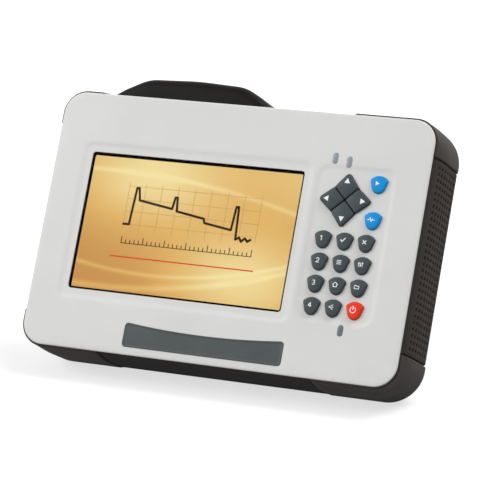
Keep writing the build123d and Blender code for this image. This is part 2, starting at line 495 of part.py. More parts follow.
nodes["rear_screws"] = case_screws + joined(door_screw(x, z) for x, z in DOOR_SCREWS)


def rubber_foot(x, z):
    """Flat rubber button with a bevelled edge."""
    f = rod(x, z, FOOT_R, REAR, REAR + FOOT_T)
    return chamfer(f.edges().filter_by(lambda e: e.center().Y > REAR + FOOT_T - 0.01), 0.5)


nodes["rubber_feet"] = joined(rubber_foot(sx * (HUMP_X - 14.5), z) for sx in (-1, 1)
                              for z in (HUMP_Z0 + 14, HUMP_Z1 - 14))

# ---------------------------------------------------------------- stand, folded shape
leg = slab(-STAND_X1, STAND_X1, PIVOT_Y - STAND_T / 2, PIVOT_Y + STAND_T / 2,
           FOOT_Z + 1.2, PIVOT_Z + 20, 9)
leg -= slab(-STAND_X0, STAND_X0, 0, 100, FOOT_Z + STAND_BAR, PIVOT_Z + 40, 4)
leg -= slab(-STAND_X1 - 5, STAND_X1 + 5, 0, 100, PIVOT_Z, PIVOT_Z + 60)
for s in (-1, 1):
    x0, x1 = sorted((s * STAND_X0, s * STAND_X1))
    leg += bar(PIVOT_Y, PIVOT_Z, STAND_T / 2, x0, x1)
for s in (-1, 1):
    x0, x1 = sorted((s * (STAND_X0 - 1), s * (STAND_X1 + 1)))
    leg -= bar(PIVOT_Y, PIVOT_Z, PIN_R + RUNNING, x0, x1)
FOOT_X = STAND_X1 - 10
shoe = bar(PIVOT_Y, PIVOT_Z - LEG, STAND_T / 2, -FOOT_X, FOOT_X)
shoe -= slab(-FOOT_X - 1, FOOT_X + 1, 0, 100, FOOT_Z + 1.2, PIVOT_Z)
nodes["kickstand"] = leg
nodes["kickstand_foot"] = shoe
nodes["kickstand_pins"] = joined(bar(PIVOT_Y, PIVOT_Z, PIN_R, x0, x1) for x0, x1 in PIN_SPANS)

# ---------------------------------------------------------------- dust cover and optical ports


def cover_face(inset):
    """Dust cover seen from the front: straight flanks rolled into a flat top."""
    hb, ht, rise = COVER_W / 2, COVER_TOP / 2, COVER_H
    dx, dz = hb - ht, rise
    k = 8.0 / rise
    n = inset * hypot(dx, dz) / dz               # flank moved in by the wall
    low, top = TOP - 8.0, TOP + rise - inset
    xt = ht + dx * inset / dz - n
    xb = hb + dx * k - n
    f = make_face([Edge.make_line((-xb, low), (xb, low)), Edge.make_line((xb, low), (xt, top)),
                   Edge.make_three_point_arc((xt, top), (0, top + CROWN), (-xt, top)),
                   Edge.make_line((-xt, top), (-xb, low))])
    v = f.vertices().sort_by(Axis.Y)[-2:]
    return Pos(PORT_X, 0) * fillet(v, 14.0 - inset)


cap = prism(cover_face(0), COVER_Y0, COVER_Y1)
soft = cap.edges().filter_by(
    lambda e: (abs(e.center().Y - COVER_Y0) < 0.01 or abs(e.center().Y - COVER_Y1) < 0.01)
    and e.center().Z > TOP - 7.9)
cap = fillet(soft, 6.0)
hollow = prism(cover_face(2.0), COVER_Y0 + 2, COVER_Y1 - 2)
soft = hollow.edges().filter_by(
    lambda e: (abs(e.center().Y - COVER_Y0 - 2) < 0.01 or abs(e.center().Y - COVER_Y1 + 2) < 0.01)
    and e.center().Z > TOP - 7.9)
hollow = fillet(soft, 4.0)
cap -= hollow
cap -= body(COVER_GAP)
cap += slab(PORT_X - 19.6, PORT_X + 19.6, COVER_Y1 - 1.5, HINGE_Y, HINGE_Z - 1.8, HINGE_Z + 2.8)
cap += bar(HINGE_Y, HINGE_Z, HINGE_R, PORT_X - 19.6, PORT_X + 19.6)
cap -= bar(HINGE_Y, HINGE_Z, HINGE_PIN + RUNNING, PORT_X - 30, PORT_X + 30)
nodes["port_cover"] = cap
nodes["port_cover_pin"] = bar(HINGE_Y, HINGE_Z, HINGE_PIN, PORT_X - 26, PORT_X + 26)

plate = slab(PORT_X - PX + DROP_IN, PORT_X + PX - DROP_IN, PY0 + DROP_IN, PY1 - DROP_IN,
             PLATE_Z - 2, PLATE_Z)
for dx in (-PORT_PITCH, 0, PORT_PITCH):
    plate -= post(PORT_X + dx, PORT_Y, PORT_R + DROP_IN, PLATE_Z - 5, PLATE_Z + 3)
nodes["port_panel"] = plate
PORT_TOP = TOP - 1.0
for name, dx, r in (("power_meter_port", -PORT_PITCH, PORT_R), ("otdr_port", 0.0, PORT_R),
                    ("vfl_port", PORT_PITCH, VFL_R)):
    x = PORT_X + dx
    a = slab(x - 8.5, x + 8.5, PORT_Y - 6, PORT_Y + 6, PLATE_Z, PLATE_Z + 1.6)
    a += post(x, PORT_Y, r + 0.8, PLATE_Z + 1, PLATE_Z + 3.4)
    a += post(x, PORT_Y, r, PLATE_Z - 9, PORT_TOP)
    a -= post(x, PORT_Y, r - PORT_WALL, PLATE_Z + 3.4, PORT_TOP + 1)
    a += post(x, PORT_Y, FERRULE_R + 0.7, PLATE_Z, PORT_TOP - 0.8)
    a -= post(x, PORT_Y, FERRULE_R, PLATE_Z - 2, PORT_TOP + 1)
    nodes[name] = a

# ---------------------------------------------------------------- data sockets and their flap
y = MAIN_Y + MAIN_T
for name, x, w, d, l in JACKS:
    s = slab(x - w / 2, x + w / 2, y, y + d, JACK_Z - l, JACK_Z)
    if name == "dc_jack":
        s -= post(x, y + 5.5, 3.2, JACK_Z - 10, JACK_Z + 1)
        s += post(x, y + 5.5, 0.9, JACK_Z - 10.5, JACK_Z - 1)
    elif name == "rj45_socket":
        s -= slab(x - 6, x + 6, y + 2.6, y + 10.2, JACK_Z - 14, JACK_Z + 1)
        s -= slab(x - 3, x + 3, y + 10, y + 12.2, JACK_Z - 14, JACK_Z + 1)
    elif name == "usb_a_socket":
        for k in (0, 1):
            q = y + 0.8 + 7.0 * k
            s -= slab(x - 6, x + 6, q, q + 6, JACK_Z - 12, JACK_Z + 1)
            s += slab(x - 5.6, x + 5.6, q + 3.4, q + 5.2, JACK_Z - 13, JACK_Z - 1)
    else:
        s -= slab(x - 4.2, x + 4.2, y + 1.4, y + 9.4, JACK_Z - 12, JACK_Z + 1)
        s += slab(x - 2.8, x + 2.8, y + 3.8, y + 7.0, JACK_Z - 13, JACK_Z - 1)
    nodes[name] = s
flap = slab(FLAP_X0, FLAP_X1, FLAP_Y0, FLAP_HY, TOP - 0.2 - FLAP_T, TOP - 0.2)
flap += bar(FLAP_HY, FLAP_HZ, 1.2, FLAP_X0, FLAP_X1)
flap += bar(FLAP_HY, FLAP_HZ, FLAP_PIN, FLAP_X0 - 1.0, FLAP_X1 + 1.0)
for i in range(7):
    flap -= slab(FLAP_X0 + 1.6 + 7.6 * i, FLAP_X0 + 7.0 + 7.6 * i, FLAP_Y0 + 1.5, FLAP_Y0 + 2.7,
                 TOP - 0.6, TOP + 1)
nodes["data_port_cover"] = flap

# ---------------------------------------------------------------- rest pose
hinge_axis = Axis((0, PIVOT_Y, PIVOT_Z), (1, 0, 0))
for name in ("kickstand", "kickstand_foot"):
    nodes[name] = nodes[name].rotate(hinge_axis, OPEN)

names = list(nodes)
leaned = [nodes[n].rotate(Axis.X, -LEAN) for n in names]
box = Compound(children=[Compound(s.solids()) for s in leaned]).bounding_box()
SHIFT = (-(box.min.X + box.max.X) / 2, -(box.min.Y + box.max.Y) / 2, -box.min.Z)
print("leg", round(LEG, 3), "shift", SHIFT, "size", box.size)

os.makedirs("parts", exist_ok=True)
for name, s in zip(names, leaned):
    s = Pos(*SHIFT) * s
    sol = s.solids()
    out = sol[0] if len(sol) == 1 else Compound(sol)
    out.label = name
    export_step(out, "parts/" + name + ".step")
    print(name, len(sol))
print(len(names), "pieces")
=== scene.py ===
import bmesh
import bpy
import json
import numpy as np
from mathutils import Matrix
from mathutils.geometry import delaunay_2d_cdt


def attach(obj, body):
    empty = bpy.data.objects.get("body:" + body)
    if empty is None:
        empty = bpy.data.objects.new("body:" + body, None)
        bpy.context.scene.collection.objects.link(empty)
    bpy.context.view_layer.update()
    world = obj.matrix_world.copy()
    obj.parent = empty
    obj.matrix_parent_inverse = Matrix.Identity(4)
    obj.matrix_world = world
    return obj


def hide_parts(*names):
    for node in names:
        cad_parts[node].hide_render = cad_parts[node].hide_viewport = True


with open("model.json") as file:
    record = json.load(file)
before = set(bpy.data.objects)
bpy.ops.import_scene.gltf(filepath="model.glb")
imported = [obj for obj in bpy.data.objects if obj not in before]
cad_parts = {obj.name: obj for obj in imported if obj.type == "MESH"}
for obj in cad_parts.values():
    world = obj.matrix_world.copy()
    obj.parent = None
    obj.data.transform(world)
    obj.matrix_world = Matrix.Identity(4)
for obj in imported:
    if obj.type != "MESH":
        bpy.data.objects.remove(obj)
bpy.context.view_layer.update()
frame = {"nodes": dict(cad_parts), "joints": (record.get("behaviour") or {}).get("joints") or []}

LEAN = np.radians(26.0)
STAND_PIVOT = (0.0, 68.7, 118.0)                 # the stand's hinge, upright
hinge = next(j for j in frame["joints"] if j["name"] == "stand_hinge")


def leaned(p):
    """Upright axes turned about x by the lean: y' = y cos + z sin, z' = z cos - y sin."""
    x, y, z = np.moveaxis(np.asarray(p, float), -1, 0)
    c, s = np.cos(LEAN), np.sin(LEAN)
    return np.stack([x, y * c + z * s, z * c - y * s], -1)


origin = np.array(hinge["pos_m"]) - leaned(STAND_PIVOT) / 1000


def place(p):
    """Upright millimetres to the row frame in metres: the lean, then the shift of the hinge."""
    return leaned(p) / 1000 + origin


# ---------------------------------------------------------------- front panel
# One moulding of off-white ABS-PC, satin from a finely etched tool.  Two shallow fields with
# soft borders are sunk round the screen and the keypad, and every key has its own opening.
# A skirt behind the plate runs in the shell's mouth and presses on the seal.
ZC = 84.0                                        # height of the panel's middle
PANEL_W, PANEL_H, PANEL_R = 246.0, 161.0, 14.0   # its outline and the corners' radius
PANEL_T, RIM_T, EDGE_ROLL = 2.5, 1.0, 0.7        # plate, thinner rim, roll of the front edge
SKIRT_IN, SKIRT_T, SKIRT_Y = 3.2, 2.0, 8.0       # skirt: inset, wall, depth of its end
WIN = (-97.8, 44.8, 40.5, 127.3, 1.6)            # screen opening: x0, x1, z0, z1, corner
LEDGE_IN, LEDGE_OUT = 2.2, 3.0                   # ledge behind it: reach inward and outward
LEDGE_Y, LEDGE_ROOT, LEDGE_BACK = 2.0, 2.4, 3.2  # depths of its face, its root and its rear
FIELDS = ((-102.8, 49.0, 35.3, 132.5, 4.5),      # sunk fields, in the terms of the opening
          (53.8, 102.3, 37.84, 132.0, 7.0))
FIELD_DEEP, FIELD_SOFT = 0.36, 3.6               # their depth and the width of their border

KEY_ROWS = (("key_f1", "key_ok", "key_esc"), ("key_f2", "key_menu", "key_setup"),
            ("key_f3", "key_home", "key_file"), ("key_f4", "key_vfl", "key_power"))
BLUE_KEYS = {"key_test": (1.13, -2.662), "key_real_time": (1.13, -1.03)}  # column, row
KEY_X, KEY_Z = 77.3, 87.0                        # middle key of the first row
PITCH_X, PITCH_Z = 13.65, 13.52
KEY_W, KEY_H, KEY_EASE = 10.7, 10.7, 1.0
PAD_X, PAD_Z, PAD_D = 73.3, 111.8, 16.95         # arrow pad: middle, and from there to its tips
PAD_NIP, TIP_R, NIP_R = 1.2, 1.9, 0.4            # waist between two tips, their rounding
PLATE_X, PLATE_Z = -1.6, 8.4                     # name plate: middle, foot
PLATE_W, PLATE_H, PLATE_SAG, PLATE_EASE = 104.6, 15.0, 2.8, 2.6
PLATE_SEAT = 0.6                                 # depth of its recess
PILLS = {"led_window_power": (62.7, 136.8), "led_window_charge": (71.9, 135.2),
         "sensor_window": (84.3, 33.84)}
PILL_W, PILL_H = 3.5, 6.9
KEY_GAP, PLATE_GAP, PILL_GAP = 0.25, 0.12, 0.05
LATTICE, STAGGER = 3.05, 1.5                     # points that carry the fields: spacing, shift
LOOP_GAP, BAND_GAP = 0.6, 1.3                    # from a loop and from a border's own points


def linear(code):
    """sRGB hex to linear red, green, blue, alpha: c / 12.92 when dark, else
    ((c + 0.055) / 1.055) ^ 2.4."""
    c = np.array([int(code[i:i + 2], 16) for i in (1, 3, 5)]) / 255
    c = np.where(c <= 0.04045, c / 12.92, ((c + 0.055) / 1.055) ** 2.4)
    return (*c.tolist(), 1.0)


def add(tree, kind, links=None, **settings):
    """One shader node with its settings, by attribute or by input, and its inputs: an output
    is linked and a number is set."""
    node = tree.nodes.new("ShaderNode" + kind)
    for key, value in settings.items():
        if hasattr(node, key):
            setattr(node, key, value)
        else:
            node.inputs[key.replace("_", " ")].default_value = value
    for key, source in (links or {}).items():
        if isinstance(source, bpy.types.NodeSocket):
            tree.links.new(source, node.inputs[key])
        else:
            node.inputs[key].default_value = source
    return node


def surface(name, light, dark, rough, grain, depth, blotch=25.0, swing=0.06, **shader):
    """The stuff of a piece.  Its colour drifts between two hexes in patches of blotch mm.  Its
    skin is a noise of grain mm raised by depth mm, and the roughness swings with it.  Etched,
    blasted and sprayed skins are really a tenth of a millimetre or finer, too fine to show, so
    each grain is drawn some three to eight times as coarse."""
    material = bpy.data.materials.new(name)
    material.use_nodes = True
    tree = material.node_tree
    tree.nodes.clear()
    at = add(tree, "TexCoord").outputs["Object"]
    drift = add(tree, "TexNoise", {"Vector": at}, Scale=1000 / blotch, Detail=3.0, Roughness=0.55)
    skin = add(tree, "TexNoise", {"Vector": at}, Scale=1000 / grain, Detail=2.0, Roughness=0.6)
    colour = add(tree, "ValToRGB", {"Fac": drift.outputs["Fac"]})
    for stop, place_on_ramp, code in zip(colour.color_ramp.elements, (0.3, 0.7), (dark, light)):
        stop.position, stop.color = place_on_ramp, linear(code)
    gloss = add(tree, "MapRange", {"Value": skin.outputs["Fac"]}, To_Min=rough - swing,
                To_Max=rough + swing)
    bump = add(tree, "Bump", {"Height": skin.outputs["Fac"]}, Strength=1.0,
               Distance=depth / 1000)
    body = add(tree, "BsdfPrincipled", {"Base Color": colour.outputs["Color"],
               "Roughness": gloss.outputs["Result"], "Normal": bump.outputs["Normal"]}, **shader)
    add(tree, "OutputMaterial", {"Surface": body.outputs["BSDF"]})
    return material


def filleted(corners, radii, n=9):
    """Polygon with its corners rounded: each arc's centre is on the bisector, r / sin(half the
    corner's angle) from the corner, and n points are swept between the two tangent points."""
    p = np.asarray(corners, float)
    r = np.broadcast_to(np.asarray(radii, float), len(p))[:, None]
    u = np.roll(p, 1, 0) - p
    v = np.roll(p, -1, 0) - p
    u /= np.linalg.norm(u, axis=1, keepdims=True)
    v /= np.linalg.norm(v, axis=1, keepdims=True)
    half = np.arccos(np.clip((u * v).sum(1), -1, 1))[:, None] / 2
    middle = (u + v) / np.linalg.norm(u + v, axis=1, keepdims=True)
    centre = p + middle * r / np.sin(half)
    first = p + u * r / np.tan(half) - centre
    last = p + v * r / np.tan(half) - centre
    a0 = np.arctan2(first[:, 1], first[:, 0])[:, None]
    turn = np.arctan2(last[:, 1], last[:, 0])[:, None] - a0
    turn = (turn + np.pi) % (2 * np.pi) - np.pi
    a = a0 + turn * np.linspace(0, 1, n)
    return (centre[:, None] + r[:, None] * np.stack([np.cos(a), np.sin(a)], -1)).reshape(-1, 2)


def spaced(loop, n):
    """A closed loop resampled to n points, evenly spaced along it."""
    path = np.vstack([loop, loop[:1]])
    along = np.r_[0, np.cumsum(np.linalg.norm(np.diff(path, axis=0), axis=1))]
    t = np.arange(n) / n * along[-1]
    return np.stack([np.interp(t, along, path[:, 0]), np.interp(t, along, path[:, 1])], -1)


def eased(loop, reach, n):
    """A closed loop with its corners eased: every point is the mean of the loop within reach mm
    on either side."""
    fine = spaced(loop, 960)
    step = np.linalg.norm(np.diff(fine[:2], axis=0))
    k = max(1, int(reach / step))
    mean = sum(np.roll(fine, i, 0) for i in range(-k, k + 1)) / (2 * k + 1)
    return spaced(mean, n)


def inset(loop, d):
    """A loop moved inward by d along its normals, each square to the line between the point's
    two neighbours."""
    t = np.roll(loop, -1, 0) - np.roll(loop, 1, 0)
    t /= np.linalg.norm(t, axis=1, keepdims=True)
    return loop + d * np.stack([-t[:, 1], t[:, 0]], -1)


def rectangle(x0, x1, z0, z1, r, n=9):
    """Rounded rectangle, anticlockwise as seen from the front."""
    return filleted([(x1, z0), (x1, z1), (x0, z1), (x0, z0)], r, n)


def outline(w):
    """The panel's outline moved outward by w."""
    x, z = PANEL_W / 2 + w, PANEL_H / 2 + w
    return spaced(rectangle(-x, x, ZC - z, ZC + z, PANEL_R + w, 17), 400)


def flat_arc(a, b, c, n=12):
    """n points of the parabola through a, b and c: (1 - t)(1 - 2t) a + 4t(1 - t) b +
    t(2t - 1) c."""
    t = np.linspace(0, 1, n)[:, None]
    a, b, c = (np.asarray(q, float) for q in (a, b, c))
    return (1 - t) * (1 - 2 * t) * a + 4 * t * (1 - t) * b + t * (2 * t - 1) * c


def shield(x, z, grow, n):
    """A key's outline moved outward by grow: a parabola over the top from shoulder to
    shoulder and a narrower one for the foot, in shares of half the key, with eased corners."""
    w, h = KEY_W / 2, KEY_H / 2
    top = flat_arc((w + 0.15, 0.52 * h), (0, h), (-w - 0.15, 0.52 * h))
    foot = flat_arc((-0.68 * w, -0.62 * h), (0, -h), (0.68 * w, -0.62 * h))
    return inset(eased(np.vstack([top, foot]), KEY_EASE, n), -grow) + (x, z)


def name_plate(grow, n=200):
    """The name plate's outline moved outward by grow: a rectangle whose upper edge is a
    parabola that sags in the middle, with eased corners."""
    a, b = PLATE_W / 2 + grow, PLATE_Z + PLATE_H + grow
    top = flat_arc((a, b), (0, b - PLATE_SAG), (-a, b), 40)
    foot = [(-a, PLATE_Z - grow), (a, PLATE_Z - grow)]
    return eased(np.vstack([top, foot]), PLATE_EASE, n) + (PLATE_X, 0)


def pill(x, z, grow, n=36):
    """An indicator window's outline moved outward by grow: two half circles and the straight
    runs between them."""
    w, h = PILL_W / 2 + grow, PILL_H / 2 + grow
    return spaced(rectangle(x - w, x + w, z - h, z + h, w - 0.02), n)


def pad_star(grow, n=144):
    """Outline of the whole arrow pad moved outward by grow: a square on its corner, drawn in
    where two keys meet."""
    is_nip = np.arange(8) % 2 == 1
    far = np.where(is_nip, PAD_D / np.sqrt(2) - PAD_NIP + grow, PAD_D + grow * np.sqrt(2))
    a = np.radians(np.arange(0, 360, 45))
    corners = np.stack([PAD_X + far * np.cos(a), PAD_Z + far * np.sin(a)], -1)
    return spaced(filleted(corners, np.where(is_nip, NIP_R, TIP_R)), n)


def inside(p, loop):
    """Even-odd rule: how often a ray to the right of each point crosses the loop."""
    a, b = loop[None], np.roll(loop, -1, 0)[None]
    x, z = p[:, None, 0], p[:, None, 1]
    straddle = (a[..., 1] > z) != (b[..., 1] > z)
    rise = np.where(b[..., 1] == a[..., 1], 1, b[..., 1] - a[..., 1])
    cross = a[..., 0] + (z - a[..., 1]) * (b[..., 0] - a[..., 0]) / rise
    return (straddle & (x < cross)).sum(1) % 2 == 1


def apart(p, others, reach):
    """Which points are more than reach from every one of the others."""
    far = np.hypot(p[:, None, 0] - others[:, 0], p[:, None, 1] - others[:, 1])
    return far.min(1) > reach


def filled(outer, holes=(), seeds=np.zeros((0, 2))):
    """Delaunay triangles between an outer loop and its holes, through the loose seeds."""
    loops = [outer, *holes]
    rim = np.vstack(loops)
    ahead = [np.roll(np.arange(len(q)), -1) for q in loops]
    starts = np.cumsum([0] + [len(q) for q in loops])
    after = np.concatenate([s + q for s, q in zip(starts, ahead)])
    seeds = seeds[apart(seeds, rim, LOOP_GAP) & inside(seeds, outer)]
    for q in holes:
        seeds = seeds[~inside(seeds, q)]
    points = [tuple(q) for q in np.vstack([rim, seeds])]
    edges = np.stack([np.arange(len(rim)), after], -1).tolist()
    points, _, faces, *_ = delaunay_2d_cdt(points, edges, [], 0, 1e-6)
    points, faces = np.array([tuple(q) for q in points]), np.array(faces)
    middle = points[faces].mean(1)
    keep = inside(middle, outer)
    for q in holes:
        keep &= ~inside(middle, q)
    return points, faces[keep]


def at_depth(loop, y):
    """Points of the x-z plane set at depth y, one value or one for each."""
    return np.stack([loop[:, 0], np.broadcast_to(y, len(loop)), loop[:, 1]], -1)


def gathered(loop):
    """The loop's points, all at their mean, to close the end of a loft."""
    return np.broadcast_to(loop.mean(0), loop.shape)


def loft(rings):
    """Closed rings of equal count joined by four-sided faces.  A ring of one repeated point
    closes the end when doubles are merged."""
    rings = np.stack(rings)
    k, n = rings.shape[:2]
    i, j = np.meshgrid(np.arange(k - 1) * n, np.arange(n), indexing="ij")
    e = (j + 1) % n
    return rings.reshape(-1, 3), np.stack([i + j, i + e, i + n + e, i + n + j], -1).reshape(-1, 4)


def piece(name, parts, stuff, body, slot, *stands_for, sharp=32):
    """Parts (points, faces) joined into one object, doubles merged, faces turned outward,
    edges of more than sharp degrees kept sharp."""
    points, faces, start = [], [], 0
    for p, f in parts:
        points.append(p)
        faces += (np.asarray(f) + start).tolist()
        start += len(p)
    mesh = bpy.data.meshes.new(name)
    mesh.from_pydata(place(np.vstack(points)).tolist(), [], faces)
    work = bmesh.new()
    work.from_mesh(mesh)
    bmesh.ops.remove_doubles(work, verts=work.verts, dist=2e-6)
    bmesh.ops.recalc_face_normals(work, faces=work.faces)
    work.to_mesh(mesh)
    work.free()
    mesh.polygons.foreach_set("use_smooth", np.ones(len(mesh.polygons), bool))
    mesh.set_sharp_from_angle(angle=np.radians(sharp))
    mesh.materials.append(stuff)
    made = bpy.data.objects.new(name, mesh)
    bpy.context.collection.objects.link(made)
    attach(made, body)
    if stands_for:
        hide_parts(*stands_for)
    return made


def sunk(x, z):
    """Depth of the panel's face: each field falls by a smooth step, t t (3 - 2t), of the
    distance to its rounded border."""
    y = 0.0
    for x0, x1, z0, z1, r in FIELDS:
        qx = np.abs(x - (x0 + x1) / 2) - (x1 - x0) / 2 + r
        qz = np.abs(z - (z0 + z1) / 2) - (z1 - z0) / 2 + r
        d = np.hypot(np.maximum(qx, 0), np.maximum(qz, 0)) + np.minimum(np.maximum(qx, qz), 0) - r
        t = np.clip(0.5 - d / FIELD_SOFT, 0, 1)
        y = y + FIELD_DEEP * t * t * (3 - 2 * t)
    return y


window = spaced(rectangle(*WIN), 240)
places = {name: (i - 1, row) for row, names in enumerate(KEY_ROWS) for i, name in enumerate(names)}
key_spots = {name: (KEY_X + column * PITCH_X, KEY_Z - row * PITCH_Z)
             for name, (column, row) in (places | BLUE_KEYS).items()}
holes = [window, *(shield(x, z, KEY_GAP, 48) for x, z in key_spots.values()), pad_star(KEY_GAP),
         *(pill(x, z, PILL_GAP) for x, z in PILLS.values())]
plate_seat = name_plate(PLATE_GAP)

# loops along the fields' borders and a lattice between them carry the soft relief
bands = np.vstack([spaced(inset(rectangle(*f, 13), d), 190) for f in FIELDS
                   for d in np.linspace(-0.62, 0.62, 7) * FIELD_SOFT])
x_in, z_in = PANEL_W / 2 - 1, PANEL_H / 2 - 1
gx, gz = np.meshgrid(np.arange(-x_in, x_in + 0.1, LATTICE),
                     np.arange(ZC - z_in, ZC + z_in + 0.5, LATTICE))
gx[1::2] += STAGGER
lattice = np.stack([gx.ravel(), gz.ravel()], -1)
seeds = np.vstack([bands, lattice[apart(lattice, bands, BAND_GAP)]])

points, faces = filled(outline(-EDGE_ROLL), [*holes, plate_seat], seeds)
front = (at_depth(points, sunk(*points.T)), faces)
points, faces = filled(outline(-SKIRT_IN - SKIRT_T), holes)
rear = (at_depth(points, PANEL_T), faces)
section = [(EDGE_ROLL * (np.cos(q) - 1), EDGE_ROLL * (1 - np.sin(q)))
           for q in np.linspace(np.pi / 2, 0, 5)]
section += [(0, RIM_T), (-SKIRT_IN, RIM_T), (-SKIRT_IN, SKIRT_Y), (-SKIRT_IN - SKIRT_T, SKIRT_Y),
            (-SKIRT_IN - SKIRT_T, PANEL_T)]
border = loft([at_depth(outline(w), y) for w, y in section])
walls = [loft([at_depth(q, sunk(*q.T)), at_depth(q, PANEL_T)]) for q in holes]
recess = loft([at_depth(plate_seat, 0.0), at_depth(plate_seat, PLATE_SEAT),
               at_depth(gathered(plate_seat), PLATE_SEAT)])
ledge = loft([at_depth(inset(window, d), y) for d, y in (
    (0, LEDGE_Y), (LEDGE_IN, LEDGE_Y), (LEDGE_IN, LEDGE_BACK), (-LEDGE_OUT, LEDGE_BACK),
    (-LEDGE_OUT, LEDGE_ROOT), (0, LEDGE_ROOT), (0, LEDGE_Y))])
# etched ABS-PC: the fine grain breaks the shine, so the panel looks even and a little soft
panel_plastic = surface("satin_etched_abs_off_white", "#d8d8d6", "#d2d2d0", 0.42, 0.5, 0.006,
                        blotch=60, Specular_IOR_Level=0.35)
piece("front_panel", [front, rear, border, *walls, recess, ledge], panel_plastic, "housing",
      "panel_white", "front_bezel")

# ---------------------------------------------------------------- keys
# Hard caps of dark grey, blue or red ABS with a fine satin skin, each moulded with a collar
# that stops behind the panel and a stem that presses a dome.  Their marks are pad printed.
KEY_UP, CROWN = 1.6, 0.3                         # cap over the panel, fall of its face to the rim
ROLL_IN, ROLL_UP = 0.75, 0.6                     # half axes of its edge's roll
FLANGE, FLANGE_T = 0.8, 0.8                      # collar: reach and thickness
STEM_R, STEM_Y = 2.0, 4.6                        # stem: radius, depth of its end on the dome
SEAM = 0.5                                       # between two arrow keys
KEY_N, ARROW_KEY_N = 72, 96                      # points round a cap
PRINT_T = 0.05                                   # ink
MARK_AT = (-0.5, 0.55)                           # marks stand a little left of and over the middle
ARROW_AT, ARROW = 11.6, 1.75                     # arrows: from the pad's middle, tip to centre

# moulded ABS: the satin skin gives each cap one soft, small highlight on its shoulder
key_grey = surface("satin_abs_key_slate", "#404a4d", "#384144", 0.38, 0.45, 0.006, blotch=9,
                   Specular_IOR_Level=0.2)
key_blue = surface("satin_abs_key_blue", "#0094dc", "#0084ca", 0.4, 0.45, 0.005, blotch=9,
                   Specular_IOR_Level=0.2)
key_red = surface("satin_abs_key_red", "#ee3c10", "#e03008", 0.4, 0.45, 0.005, blotch=9,
                  Specular_IOR_Level=0.2)
# pad printing: thin flat ink, matt and just off white
key_print = surface("pad_printed_white_ink", "#f4f6f6", "#e6eaea", 0.5, 0.3, 0.004, blotch=3)
KEY_STUFF = {"key_power": (key_red, "key_red"), "key_test": (key_blue, "key_blue"),
             "key_real_time": (key_blue, "key_blue")}


def crown(p, centre, reach):
    """Depth of a cap's face: a shallow parabola that is highest over its middle."""
    return -KEY_UP + CROWN * (np.hypot(*(p - centre).T) / reach) ** 2


def cap(loop, collar, centre):
    """A key as a stack of loops: stem, collar, wall, quarter-ellipse edge and crowned face,
    which closes in on the centre."""
    away = loop - centre
    stem = centre + STEM_R * away / np.linalg.norm(away, axis=1, keepdims=True)
    reach = np.hypot(*away.T).mean()
    rings = [at_depth(np.broadcast_to(centre, loop.shape), STEM_Y), at_depth(stem, STEM_Y),
             at_depth(stem, PANEL_T + FLANGE_T), at_depth(collar, PANEL_T + FLANGE_T),
             at_depth(collar, PANEL_T), at_depth(loop, PANEL_T)]
    for q in np.linspace(0, np.pi / 2, 6):
        ring = inset(loop, ROLL_IN * (1 - np.cos(q)))
        rings.append(at_depth(ring, crown(ring, centre, reach) + ROLL_UP * (1 - np.sin(q))))
    face = inset(loop, ROLL_IN)
    for share in (0.85, 0.68, 0.5, 0.32, 0.15, 0.0):
        ring = centre + share * (face - centre)
        rings.append(at_depth(ring, crown(ring, centre, reach)))
    return loft(rings), reach


def inked(shapes, depth):
    """Printed shapes, each a loop closed in on its own middle, laid half into a face whose
    depth is a function of the place."""
    parts = []
    for loop in shapes:
        middle = gathered(loop)
        parts.append(loft([at_depth(q, depth(q) + t) for q, t in (
            (middle, -PRINT_T), (loop, -PRINT_T), (loop, PRINT_T), (middle, PRINT_T))]))
    return parts


def stroke(path, width):
    """A line of ink: the path's points offset by half the width to both sides, one loop for
    each straight run, with its ends carried on by a quarter of the width."""
    path = np.asarray(path, float)
    loops = []
    for a, b in zip(path[:-1], path[1:]):
        t = (b - a) / np.linalg.norm(b - a)
        n = np.array([-t[1], t[0]]) * width / 2
        a, b = a - t * width / 4, b + t * width / 4
        loops.append(np.array([a - n, b - n, b + n, a + n]))
    return loops


def strokes(paths, width):
    """The loops of several lines of ink."""
    return [loop for path in paths for loop in stroke(path, width)]


def sweep(x, z, r, a0, a1, n=10):
    """n points of an arc about (x, z) between two angles in degrees."""
    a = np.radians(np.linspace(a0, a1, n))
    return np.stack([x + r * np.cos(a), z + r * np.sin(a)], -1)


def disc(x, z, r, n=16):
    """A round dot: n points of a full turn about (x, z)."""
    return sweep(x, z, r, 0, 360 - 360 / n, n)


